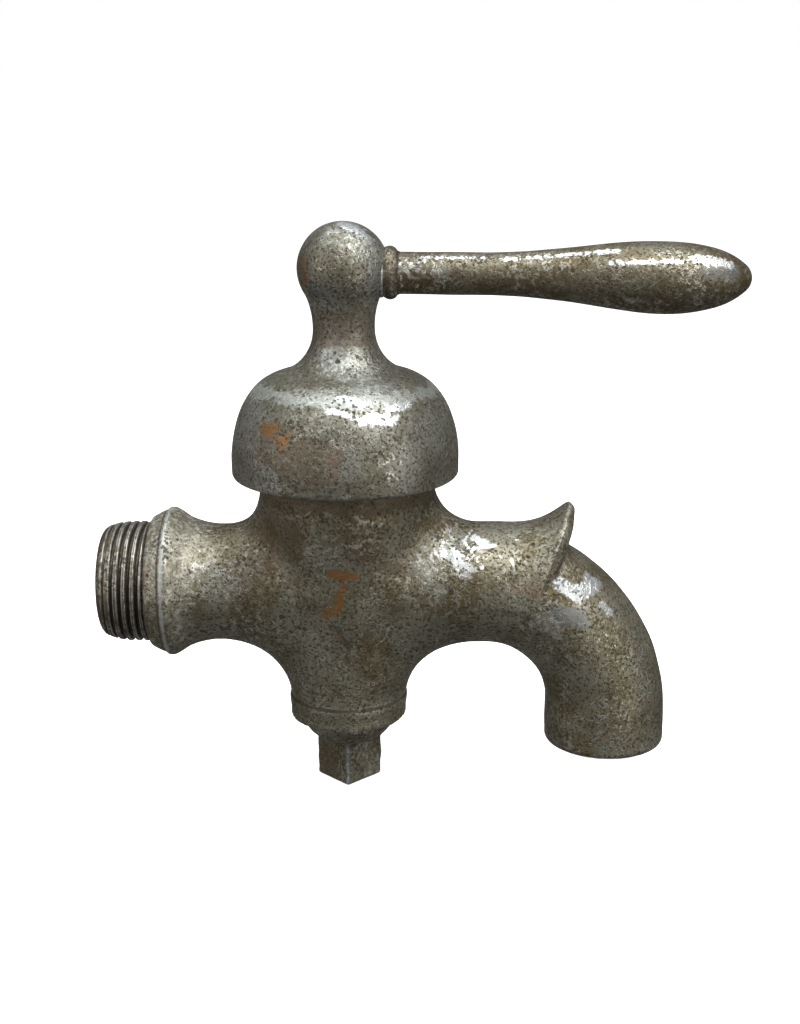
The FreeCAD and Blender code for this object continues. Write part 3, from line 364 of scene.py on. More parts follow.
def note_bends(mesh: bpy.types.Mesh, rounds: int = 2) -> None:
    """Store how sharply the surface bends at each corner, in turns per millimetre.

    Outward edges are above nought and hollows are below it.

    Args:
        mesh: the mesh that gets the attribute "bend".
        rounds: how often the values are evened out with their neighbours.
    """
    size = len(mesh.vertices)
    places, normals = np.empty(size * 3), np.empty(size * 3)
    mesh.vertices.foreach_get("co", places)
    mesh.vertices.foreach_get("normal", normals)
    places, normals = places.reshape(-1, 3) / MM, normals.reshape(-1, 3)
    ends = np.empty(len(mesh.edges) * 2, np.int32)
    mesh.edges.foreach_get("vertices", ends)
    a, b = ends.reshape(-1, 2).T
    step = places[b] - places[a]
    length = np.maximum((step ** 2).sum(axis=1), 1e-4)
    bend = ((normals[b] - normals[a]) * step).sum(axis=1) / length
    near = np.maximum(np.bincount(ends, minlength=size), 1)
    value = (np.bincount(a, bend, size) + np.bincount(b, bend, size)) / near
    for _ in range(rounds):
        around = (np.bincount(a, value[b], size) + np.bincount(b, value[a], size)) / near
        value = (value + around) / 2
    store = mesh.attributes.new("bend", "FLOAT", "POINT")
    store.data.foreach_set("value", value.astype(np.float32))


def arc(start: tuple[float, float], end: tuple[float, float], radius: float, side: int,
        steps: int = 14) -> list[tuple[float, float]]:
    """Points of an arc, without its last one.

    Args:
        start: where it begins.
        end: where it ends.
        radius: its radius.
        side: 1 if the centre is to the left of the way along it, or -1.
        steps: how many runs stand for it.

    Returns:
        Points from the start to just before the end.
    """
    first, last = np.array(start, float), np.array(end, float)
    chord = last - first
    length = float(np.hypot(*chord))
    normal = np.array([-chord[1], chord[0]]) / length * side
    centre = (first + last) / 2 + normal * math.sqrt(max(radius ** 2 - length ** 2 / 4, 0.0))
    from_angle = math.atan2(*(first - centre)[::-1])
    to_angle = math.atan2(*(last - centre)[::-1])
    swing = (to_angle - from_angle + math.pi) % (2 * math.pi) - math.pi
    angles = [from_angle + swing * step / steps for step in range(steps)]
    return [(float(centre[0] + radius * math.cos(angle)),
             float(centre[1] + radius * math.sin(angle))) for angle in angles]


def run(start: tuple[float, float], end: tuple[float, float], step: float
        ) -> list[tuple[float, float]]:
    """Points of a straight run about this far apart, without its last one.

    Args:
        start: where it begins.
        end: where it ends.
        step: distance between points.

    Returns:
        The points.
    """
    count = max(1, round(math.dist(start, end) / step))
    return [(start[0] + (end[0] - start[0]) * i / count,
             start[1] + (end[1] - start[1]) * i / count) for i in range(count)]


def turned(name: str, outline: Sequence[tuple[float, float]], sides: int, along_x: bool = False,
           height: float = 0.0, ripple: Ripple | None = None) -> bpy.types.Object:
    """Turn an outline about an axis into a closed piece.

    Args:
        name: the piece's name.
        outline: (distance from the axis, place along it) from one pole or edge to the other;
            when neither end is on the axis the outline closes on itself.
        sides: number of faces round the axis.
        along_x: turn about a line along X at this height, not about the barrel's axis.
        height: height of that line.
        ripple: waviness laid over the surface.

    Returns:
        The object.
    """
    turn = np.linspace(0, 2 * math.pi, sides, endpoint=False)
    rings, points = [], []
    for radius, along in outline:
        if radius < 1e-6:
            rings.append([len(points)])
            points.append((0.0, 0.0, along))
            continue
        rings.append(list(range(len(points), len(points) + sides)))
        points += [(radius * math.cos(a), radius * math.sin(a), along) for a in turn]
    closed = outline[0][0] > 1e-6 and outline[-1][0] > 1e-6
    faces = []
    for index in range(len(rings) if closed else len(rings) - 1):
        lower, upper = rings[index], rings[(index + 1) % len(rings)]
        for side in range(sides):
            following = (side + 1) % sides
            if len(lower) == 1:
                faces.append((lower[0], upper[following], upper[side]))
            elif len(upper) == 1:
                faces.append((lower[side], lower[following], upper[0]))
            else:
                faces.append((lower[side], lower[following], upper[following], upper[side]))
    places = np.array(points, float)
    if along_x:
        places = np.stack([places[:, 2], places[:, 1], places[:, 0] + height], axis=1)
    if ripple is not None:
        centre = np.array([0.0, 0.0, height]) if along_x else np.zeros(3)
        away = places - centre
        away[:, 0 if along_x else 2] = 0.0
        length = np.maximum(np.linalg.norm(away, axis=1), 1e-6)[:, None]
        places = places + away / length * ripple(*places.T)[:, None]
    mesh = bpy.data.meshes.new(name)
    mesh.from_pydata(((places + np.array([AXIS_X, 0.0, 0.0])) * MM).tolist(), [], faces)
    mesh.update(calc_edges=True)
    if enclosed_volume(mesh) < 0:
        mesh.flip_normals()
    return finish_mesh(name, mesh)


def enclosed_volume(mesh: bpy.types.Mesh) -> float:
    """Signed volume of a closed mesh: below nought when it is inside out.

    Args:
        mesh: the mesh.

    Returns:
        The volume, in cubic metres.
    """
    mesh.calc_loop_triangles()
    return sum(t.area * t.normal.dot(mesh.vertices[t.vertices[0]].co)
               for t in mesh.loop_triangles) / 3


def place(piece: bpy.types.Object, body: str, slot: str, material: bpy.types.Material,
          *nodes: str) -> bpy.types.Object:
    """Dress a piece, tell the frame what it rides on and hide the parts that it stands for.

    Args:
        piece: the piece.
        body: the moving body that it rides on.
        slot: name of its material slot; not used.
        material: its material.
        nodes: parts that it stands for.

    Returns:
        The same piece.
    """
    piece.data.materials.clear()
    piece.data.materials.append(material)
    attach(piece, body)
    if nodes:
        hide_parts(*nodes)
    log.info("%s: %d faces on %s", piece.name, len(piece.data.polygons), body)
    return piece


# ---------------------------------------------------------------- node trees

class Wiring:
    """Short ways to add and join the nodes of one tree."""

    def __init__(self, tree: bpy.types.NodeTree) -> None:
        """Keep the tree that the nodes go in."""
        self.tree = tree

    def add(self, kind: str, feeds: dict[int | str, object] | None = None,
            **settings: object) -> bpy.types.Node:
        """Add a node.

        Args:
            kind: its type.
            feeds: what goes into its sockets, by number or name.
            settings: its own properties.

        Returns:
            The node.
        """
        node = self.tree.nodes.new(kind)
        for key, value in settings.items():
            setattr(node, key, value)
        for key, value in (feeds or {}).items():
            self.feed(node.inputs[key], value)
        return node

    def feed(self, socket: bpy.types.NodeSocket, value: object) -> None:
        """Join another socket to this one, or set its number.

        Args:
            socket: the socket to set.
            value: another socket, or the value.
        """
        if isinstance(value, bpy.types.NodeSocket):
            self.tree.links.new(value, socket)
        else:
            socket.default_value = value

    def math(self, operation: str, first: object, second: object = 0.0,
             third: object = 0.0) -> bpy.types.NodeSocket:
        """Add a sum and give its result."""
        return self.add("ShaderNodeMath", {0: first, 1: second, 2: third},
                        operation=operation).outputs[0]

    def vector(self, operation: str, first: object, second: object = (0.0, 0.0, 0.0)
               ) -> bpy.types.Node:
        """Add a vector sum and give its node."""
        return self.add("ShaderNodeVectorMath", {0: first, 1: second}, operation=operation)

    def ramp(self, value: object, low: object, high: object, start: object = 0.0,
             end: object = 1.0) -> bpy.types.NodeSocket:
        """Rise smoothly from start to end while the value goes from low to high.

        Args:
            value: what is looked at.
            low: where the rise begins.
            high: where it ends.
            start: result up to low.
            end: result from high on.

        Returns:
            The result's socket.
        """
        node = self.add("ShaderNodeMapRange", {0: value, 1: low, 2: high, 3: start, 4: end},
                        interpolation_type="SMOOTHSTEP")
        return node.outputs[0]

    def blend(self, factor: object, first: object, second: object) -> bpy.types.NodeSocket:
        """Mix two colours."""
        return self.add("ShaderNodeMix", {0: factor, 6: first, 7: second},
                        data_type="RGBA").outputs[2]

    def level(self, factor: object, first: object, second: object) -> bpy.types.NodeSocket:
        """Mix two numbers."""
        return self.add("ShaderNodeMix", {0: factor, 2: first, 3: second},
                        data_type="FLOAT").outputs[0]

    def noise(self, vector: object, scale: object, detail: float = 3.0,
              roughness: float = 0.55) -> bpy.types.NodeSocket:
        """Add a noise and give its value.

        Args:
            vector: the place on the surface.
            scale: how fine it is.
            detail: how many layers it has.
            roughness: how strong the fine layers are.

        Returns:
            The value's socket.
        """
        return self.add("ShaderNodeTexNoise", {"Vector": vector, "Scale": scale,
                                               "Detail": detail, "Roughness": roughness}
                        ).outputs["Fac"]

    def group(self, tree: bpy.types.NodeTree, feeds: dict[str, object]) -> bpy.types.Node:
        """Place a node group with its own values."""
        return self.add("ShaderNodeGroup", feeds, node_tree=tree)


def new_group(name: str, kind: str, inputs: dict[str, tuple[str, object]],
              outputs: dict[str, str]) -> tuple[Wiring, bpy.types.Node, bpy.types.Node]:
    """Start a node group with named sockets.

    Args:
        name: the group's name.
        kind: type of its tree.
        inputs: socket type and first value of each input.
        outputs: socket type of each output.

    Returns:
        The wiring, the node that gives the inputs and the node that takes the outputs.
    """
    tree = bpy.data.node_groups.new(name, kind)
    for label, (socket, value) in inputs.items():
        item = tree.interface.new_socket(label, in_out="INPUT", socket_type=socket)
        if value is not None:
            item.default_value = value
    for label, socket in outputs.items():
        tree.interface.new_socket(label, in_out="OUTPUT", socket_type=socket)
    wiring = Wiring(tree)
    return wiring, wiring.add("NodeGroupInput"), wiring.add("NodeGroupOutput")


FLOAT, VECTOR = "NodeSocketFloat", "NodeSocketVector"


def mottle_group() -> bpy.types.NodeTree:
    """Cloudy and speckled unevenness of old plate, coarse and fine.

    Returns:
        The node group.
    """
    wiring, given, out = new_group("plate_mottle", "ShaderNodeTree", {
        "Vector": (VECTOR, None), "Scale": (FLOAT, 90.0)},
        {"Cloud": FLOAT, "Fleck": FLOAT, "Grain": FLOAT})
    where, scale = given.outputs["Vector"], given.outputs["Scale"]
    cloud = wiring.noise(where, scale, 4.0, 0.6)
    wiring.feed(out.inputs["Cloud"], wiring.ramp(cloud, 0.36, 0.64))
    fleck = wiring.noise(where, wiring.math("MULTIPLY", scale, 9.0), 4.0, 0.68)
    wiring.feed(out.inputs["Fleck"], wiring.ramp(fleck, 0.47, 0.62))
    grain = wiring.noise(where, wiring.math("MULTIPLY", scale, 17.0), 3.0, 0.62)
    wiring.feed(out.inputs["Grain"], grain)
    return wiring.tree


def pit_group() -> bpy.types.NodeTree:
    """Round corrosion pits scattered in drifts.

    Returns:
        The node group.
    """
    wiring, given, out = new_group("corrosion_pits", "ShaderNodeTree", {
        "Vector": (VECTOR, None), "Scale": (FLOAT, 700.0), "Size": (FLOAT, 0.22),
        "Crowding": (FLOAT, 0.5)}, {"Pit": FLOAT})
    where = given.outputs["Vector"]
    cells = wiring.add("ShaderNodeTexVoronoi", {"Vector": where,
                                                "Scale": given.outputs["Scale"]})
    drift = wiring.noise(where, wiring.math("MULTIPLY", given.outputs["Scale"], 0.2), 2.0)
    size = wiring.math("MULTIPLY", given.outputs["Size"],
                       wiring.ramp(drift, wiring.math("SUBTRACT", 1.0, given.outputs["Crowding"]),
                                   0.72))
    depth = wiring.math("SUBTRACT", size, cells.outputs["Distance"])
    wiring.feed(out.inputs["Pit"], wiring.ramp(depth, 0.0, 0.09))
    return wiring.tree


def patch_group() -> bpy.types.NodeTree:
    """A ragged patch or streak round the line between two places.

    Returns:
        The node group.
    """
    wiring, given, out = new_group("ragged_patch", "ShaderNodeTree", {
        "Vector": (VECTOR, None), "Start": (VECTOR, (0.0, 0.0, 0.0)),
        "Way": (VECTOR, (0.0, 0.0, 0.001)), "Width": (FLOAT, 0.004),
        "Raggedness": (FLOAT, 0.6), "Tear Scale": (FLOAT, 500.0)}, {"Patch": FLOAT})
    where, way = given.outputs["Vector"], given.outputs["Way"]
    away = wiring.vector("SUBTRACT", where, given.outputs["Start"]).outputs[0]
    share = wiring.math("DIVIDE", wiring.vector("DOT_PRODUCT", away, way).outputs["Value"],
                        wiring.vector("DOT_PRODUCT", way, way).outputs["Value"])
    share = wiring.math("MINIMUM", wiring.math("MAXIMUM", share, 0.0), 1.0)
    along = wiring.add("ShaderNodeVectorMath", {0: way, "Scale": share}, operation="SCALE")
    rest = wiring.vector("SUBTRACT", away, along.outputs[0]).outputs[0]
    length = wiring.math("DIVIDE", wiring.vector("LENGTH", rest).outputs["Value"],
                         given.outputs["Width"])
    tear = wiring.noise(where, given.outputs["Tear Scale"], 4.0, 0.68)
    tear = wiring.math("MULTIPLY", wiring.math("SUBTRACT", tear, 0.5), 4.0)
    length = wiring.math("MULTIPLY_ADD", tear, given.outputs["Raggedness"], length)
    wiring.feed(out.inputs["Patch"], wiring.ramp(length, 1.0, 0.7))
    return wiring.tree


def ring_group() -> bpy.types.NodeTree:
    """A ragged ring round an axis.

    Returns:
        The node group.
    """
    wiring, given, out = new_group("ragged_ring", "ShaderNodeTree", {
        "Vector": (VECTOR, None), "Centre": (VECTOR, (0.0, 0.0, 0.0)),
        "Axis": (VECTOR, (0.0, 0.0, 1.0)), "Radius": (FLOAT, 0.01), "Width": (FLOAT, 0.001),
        "Raggedness": (FLOAT, 0.5), "Tear Scale": (FLOAT, 500.0)}, {"Ring": FLOAT})
    where, axis = given.outputs["Vector"], given.outputs["Axis"]
    away = wiring.vector("SUBTRACT", where, given.outputs["Centre"]).outputs[0]
    along = wiring.vector("DOT_PRODUCT", away, axis).outputs["Value"]
    beside = wiring.add("ShaderNodeVectorMath", {0: axis, "Scale": along}, operation="SCALE")
    rest = wiring.vector("SUBTRACT", away, beside.outputs[0]).outputs[0]
    off = wiring.math("SUBTRACT", wiring.vector("LENGTH", rest).outputs["Value"],
                      given.outputs["Radius"])
    length = wiring.math("SQRT", wiring.math("ADD", wiring.math("MULTIPLY", off, off),
                                             wiring.math("MULTIPLY", along, along)))
    length = wiring.math("DIVIDE", length, given.outputs["Width"])
    tear = wiring.noise(where, given.outputs["Tear Scale"], 3.0, 0.6)
    tear = wiring.math("MULTIPLY", wiring.math("SUBTRACT", tear, 0.5), 4.0)
    length = wiring.math("MULTIPLY_ADD", tear, given.outputs["Raggedness"], length)
    wiring.feed(out.inputs["Ring"], wiring.ramp(length, 1.0, 0.6))
    return wiring.tree


def edge_group() -> bpy.types.NodeTree:
    """Wear on outward edges and darkening in hollows, from how the surface bends.

    Returns:
        The node group.
    """
    wiring, given, out = new_group("edge_wear", "ShaderNodeTree", {
        "Vector": (VECTOR, None), "Bend": (FLOAT, 0.0), "Begins": (FLOAT, 0.3),
        "Full": (FLOAT, 1.1)}, {"Worn": FLOAT, "Hollow Darkening": FLOAT})
    bend = given.outputs["Bend"]
    patchy = wiring.noise(given.outputs["Vector"], 420.0, 3.0)
    worn = wiring.ramp(bend, given.outputs["Begins"], given.outputs["Full"])
    worn = wiring.math("MULTIPLY", worn, wiring.ramp(patchy, 0.34, 0.56, 0.15, 1.0))
    wiring.feed(out.inputs["Worn"], worn)
    # darker in hollows, from the bend alone
    hollow = wiring.ramp(wiring.math("MULTIPLY", bend, -1.0), 0.10, 0.5)
    wiring.feed(out.inputs["Hollow Darkening"], hollow)
    return wiring.tree


def scratch_group() -> bpy.types.NodeTree:
    """Fine straight scratches that run one way.

    Returns:
        The node group.
    """
    wiring, given, out = new_group("fine_scratches", "ShaderNodeTree", {
        "Vector": (VECTOR, None), "Stretch": (VECTOR, (60.0, 900.0, 900.0)),
        "Lean": (FLOAT, 0.6), "Amount": (FLOAT, 0.5)}, {"Scratch": FLOAT})
    turned_way = wiring.add("ShaderNodeVectorRotate", {"Vector": given.outputs["Vector"],
                                                       "Angle": given.outputs["Lean"]},
                            rotation_type="Y_AXIS")
    long_way = wiring.vector("MULTIPLY", turned_way.outputs[0], given.outputs["Stretch"])
    lines = wiring.noise(long_way.outputs[0], 1.0, 1.0)
    limit = wiring.math("SUBTRACT", 0.78, wiring.math("MULTIPLY", given.outputs["Amount"], 0.12))
    wiring.feed(out.inputs["Scratch"], wiring.ramp(lines, limit, 0.8))
    return wiring.tree


# ---------------------------------------------------------------- finishes

class Mark(Enum):
    """What a patch looks like: colour, roughness and metal. Some patches are marks on the plate,
    and some are painted highlight and painted shade.
    """

    # worn bright nickel on edges, and as patches also painted highlights on lit places
    BRIGHT_WEAR_AND_HIGHLIGHT = ((0.66, 0.69, 0.71), 0.32, 0.9)
    # pale frosted film; as the ring round the bell's shoulder also a painted reflection of the
    # sky, and on the collar's bead a painted highlight
    FROST = ((0.44, 0.47, 0.46), 0.45, 0.6)
    BRASS = ((0.25, 0.125, 0.042), 0.45, 0.7)
    COPPER = ((0.21, 0.145, 0.10), 0.48, 0.6)
    # brown stains; under the bell also painted shade
    BROWN = ((0.085, 0.058, 0.03), 0.55, 0.35)
    SLATE = ((0.20, 0.215, 0.23), 0.38, 0.85)
    # dark marks; in the creases round the foot, the plug and the collar also painted shade
    DARK = ((0.03, 0.024, 0.018), 0.7, 0.1)
    LIME = ((0.46, 0.45, 0.40), 0.52, 0.45)


@dataclass(frozen=True)
class Patch:
    """One patch on the plate, for a mark and also for painted highlight and shade: its kind, both
    ends of its middle line and its half-width, in mm.
    """

    mark: Mark
    start: tuple[float, float, float]
    end: tuple[float, float, float]
    width: float
    ragged: float = 0.6
    strength: float = 1.0
    tear: float = 600.0

    def mask(self, wiring: Wiring, effects: "Effects", where: bpy.types.NodeSocket,
             fleck: bpy.types.NodeSocket) -> bpy.types.NodeSocket:
        """Place the patch's node group.

        Args:
            wiring: the material's tree.
            effects: the shared node groups.
            where: the place on the surface.
            fleck: the plate's fine speckle, which thins out pale marks.

        Returns:
            How strongly the patch covers the surface.
        """
        way = tuple((b - a) * MM for a, b in zip(self.start, self.end))
        node = wiring.group(effects.patch, {
            "Vector": where, "Start": tuple(v * MM for v in self.start), "Way": way,
            "Width": self.width * MM, "Raggedness": self.ragged, "Tear Scale": self.tear})
        covered = wiring.math("MULTIPLY", node.outputs[0], self.strength)
        if self.mark in (Mark.FROST, Mark.LIME):
            covered = wiring.math("MULTIPLY", covered, wiring.ramp(fleck, 0.0, 0.8, 0.3, 1.0))
        return covered


@dataclass(frozen=True)
class Ring:
    """A ring-shaped patch, for a mark and also for painted highlight and shade: its kind, centre,
    axis, radius and half-width, in mm.
    """

    mark: Mark
    centre: tuple[float, float, float]
    axis: tuple[float, float, float]
    radius: float
    width: float
    ragged: float = 0.4
    strength: float = 0.9
    tear: float = 500.0

    def mask(self, wiring: Wiring, effects: "Effects", where: bpy.types.NodeSocket,
             fleck: bpy.types.NodeSocket) -> bpy.types.NodeSocket:
        """Place the ring's node group.

        Args:
            wiring: the material's tree.
            effects: the shared node groups.
            where: the place on the surface.
            fleck: not used by a ring.

        Returns:
            How strongly the ring covers the surface.
        """
        node = wiring.group(effects.ring, {
            "Vector": where, "Centre": tuple(v * MM for v in self.centre), "Axis": self.axis,
            "Radius": self.radius * MM, "Width": self.width * MM, "Raggedness": self.ragged,
            "Tear Scale": self.tear})
        return wiring.math("MULTIPLY", node.outputs[0], self.strength)


@dataclass(frozen=True)
class AgedNickel:
    """Worn nickel plate over brass."""

    name: str
    # marks on the plate, with painted highlights and painted shade among them
    patches: tuple[Patch | Ring, ...] = ()
    grey: tuple[float, float, float] = (0.245, 0.235, 0.185)
    olive: tuple[float, float, float] = (0.150, 0.130, 0.076)
    brown: tuple[float, float, float] = (0.062, 0.044, 0.024)
    pale: tuple[float, float, float] = (0.52, 0.52, 0.47)
    scale: float = 95.0
    browning: float = 0.45
    pitting: float = 0.5
    specks: float = 0.72
    wear: float = 0.7
    dark_flecks: float = 0.85
    # colour that the hollows are darkened towards
    hollow_tone: tuple[float, float, float] = (0.045, 0.036, 0.024)
    hole: tuple[float, float, float] = (0.028, 0.024, 0.018)

    def material(self, effects: "Effects") -> bpy.types.Material:
        """Build the material.

        Args:
            effects: the shared node groups.

        Returns:
            The material, ready to assign.
        """
        material = bpy.data.materials.new(self.name)
        material.use_nodes = True
        wiring = Wiring(material.node_tree)
        shader = material.node_tree.nodes["Principled BSDF"]
        where = wiring.add("ShaderNodeTexCoord").outputs["Object"]
        mottle = wiring.group(effects.mottle, {"Vector": where, "Scale": self.scale})
        cloud, fleck, grain = (mottle.outputs[key] for key in ("Cloud", "Fleck", "Grain"))
        colour = wiring.blend(cloud, (*self.olive, 1), (*self.grey, 1))
        stain = wiring.ramp(wiring.noise(where, self.scale * 0.45, 5.0, 0.62),
                            0.66 - self.browning * 0.2, 0.82 - self.browning * 0.2)
        colour = wiring.blend(wiring.math("MULTIPLY", stain, 0.6), colour, (*self.brown, 1))
        drift = wiring.ramp(wiring.noise(where, self.scale * 1.4, 3.0), 0.42, 0.66, 0.12, 0.62)
        colour = wiring.blend(wiring.math("MULTIPLY", fleck, drift), colour, (*self.pale, 1))
        dark_fleck = wiring.ramp(grain, 0.50, 0.38)
        colour = wiring.blend(wiring.math("MULTIPLY", dark_fleck, self.dark_flecks), colour,
                              (*self.brown, 1))
        rough = wiring.ramp(fleck, 0.0, 1.0, 0.52, 0.36)
        rough = wiring.level(wiring.math("MULTIPLY", dark_fleck, 0.6), rough, 0.72)
        metal = wiring.ramp(stain, 0.0, 1.0, 0.82, 0.55)
        # lays the marks, painted highlights and painted shade over the plate
        for patch in self.patches:
            tone, patch_rough, patch_metal = patch.mark.value
            mask = patch.mask(wiring, effects, where, fleck)
            colour = wiring.blend(mask, colour, (*tone, 1))
            rough = wiring.level(mask, rough, patch_rough)
            metal = wiring.level(mask, metal, patch_metal)
        bend = wiring.add("ShaderNodeAttribute", attribute_name="bend").outputs["Fac"]
        edge = wiring.group(effects.edge, {"Vector": where, "Bend": bend})
        worn, hollow_darkening = edge.outputs["Worn"], edge.outputs["Hollow Darkening"]
        bright, bright_rough, bright_metal = Mark.BRIGHT_WEAR_AND_HIGHLIGHT.value
        # darker in hollows, set only by how the surface bends
        colour = wiring.blend(wiring.math("MULTIPLY", hollow_darkening, 0.8), colour,
                              (*self.hollow_tone, 1))
        colour = wiring.blend(wiring.math("MULTIPLY", worn, self.wear), colour, (*bright, 1))
        rough = wiring.level(worn, rough, bright_rough + 0.12)
        metal = wiring.level(worn, metal, bright_metal)
        pits = wiring.group(effects.pit, {"Vector": where, "Scale": 520.0, "Size": 0.36,
                                          "Crowding": self.pitting}).outputs[0]
        specks = wiring.group(effects.pit, {"Vector": where, "Scale": 1150.0, "Size": 0.46,
                                            "Crowding": self.specks}).outputs[0]
        holes = wiring.math("MAXIMUM", pits, wiring.math("MULTIPLY", specks, 0.8))
        colour = wiring.blend(wiring.math("MULTIPLY", holes, 0.9), colour,
                              (*self.hole, 1))
        scratch = wiring.group(effects.scratch, {"Vector": where}).outputs[0]
        colour = wiring.blend(wiring.math("MULTIPLY", scratch, 0.35), colour, (*self.pale, 1))
        metal = wiring.level(holes, metal, 0.1)
        rough = wiring.level(holes, rough, 0.85)
        wiring.feed(shader.inputs["Base Color"], colour)
        wiring.feed(shader.inputs["Roughness"], rough)
        wiring.feed(shader.inputs["Metallic"], metal)
        height = wiring.math("MULTIPLY_ADD", grain, 0.30, wiring.math("MULTIPLY", fleck, 0.35))
        height = wiring.math("SUBTRACT", height, wiring.math("MULTIPLY", holes, 0.9))
        height = wiring.math("SUBTRACT", height, wiring.math("MULTIPLY", scratch, 0.15))
        bump = wiring.add("ShaderNodeBump", {"Strength": 0.55, "Distance": 0.00022,
                                             "Height": height})
        wiring.feed(shader.inputs["Normal"], bump.outputs[0])
        return material


@dataclass(frozen=True)
class InnerFinish:
    """A plainer finish for the working parts inside."""

    name: str
    light: tuple[float, float, float]
    dark: tuple[float, float, float]
    metal: float = 1.0
    smooth: float = 0.32
    rough: float = 0.5
    scale: float = 260.0

    def material(self, effects: "Effects") -> bpy.types.Material:
        """Build the material from two tones, darker flecks and fine grain.

        Args:
            effects: the shared node groups.

        Returns:
            The material, ready to assign.
        """
        material = bpy.data.materials.new(self.name)
        material.use_nodes = True
        wiring = Wiring(material.node_tree)
        shader = material.node_tree.nodes["Principled BSDF"]
        shader.inputs["Metallic"].default_value = self.metal
        where = wiring.add("ShaderNodeTexCoord").outputs["Object"]
        mottle = wiring.group(effects.mottle, {"Vector": where, "Scale": self.scale})
        colour = wiring.blend(mottle.outputs["Cloud"], (*self.dark, 1), (*self.light, 1))
        colour = wiring.blend(wiring.math("MULTIPLY", mottle.outputs["Fleck"], 0.25), colour,
                              (*(v * 0.5 for v in self.dark), 1))
        wiring.feed(shader.inputs["Base Color"], colour)
        wiring.feed(shader.inputs["Roughness"], wiring.ramp(mottle.outputs["Cloud"], 0.0, 1.0,
                                                            self.rough, self.smooth))
        bump = wiring.add("ShaderNodeBump", {"Strength": 0.3, "Distance": 0.0001,
                                             "Height": mottle.outputs["Grain"]})
        wiring.feed(shader.inputs["Normal"], bump.outputs[0])
        return material


@dataclass
class Effects:
    """Node groups that more than one material uses."""

    mottle: bpy.types.NodeTree = field(default_factory=mottle_group)
    pit: bpy.types.NodeTree = field(default_factory=pit_group)
    patch: bpy.types.NodeTree = field(default_factory=patch_group)
    ring: bpy.types.NodeTree = field(default_factory=ring_group)
    edge: bpy.types.NodeTree = field(default_factory=edge_group)
    scratch: bpy.types.NodeTree = field(default_factory=scratch_group)


# ---------------------------------------------------------------- faucet body

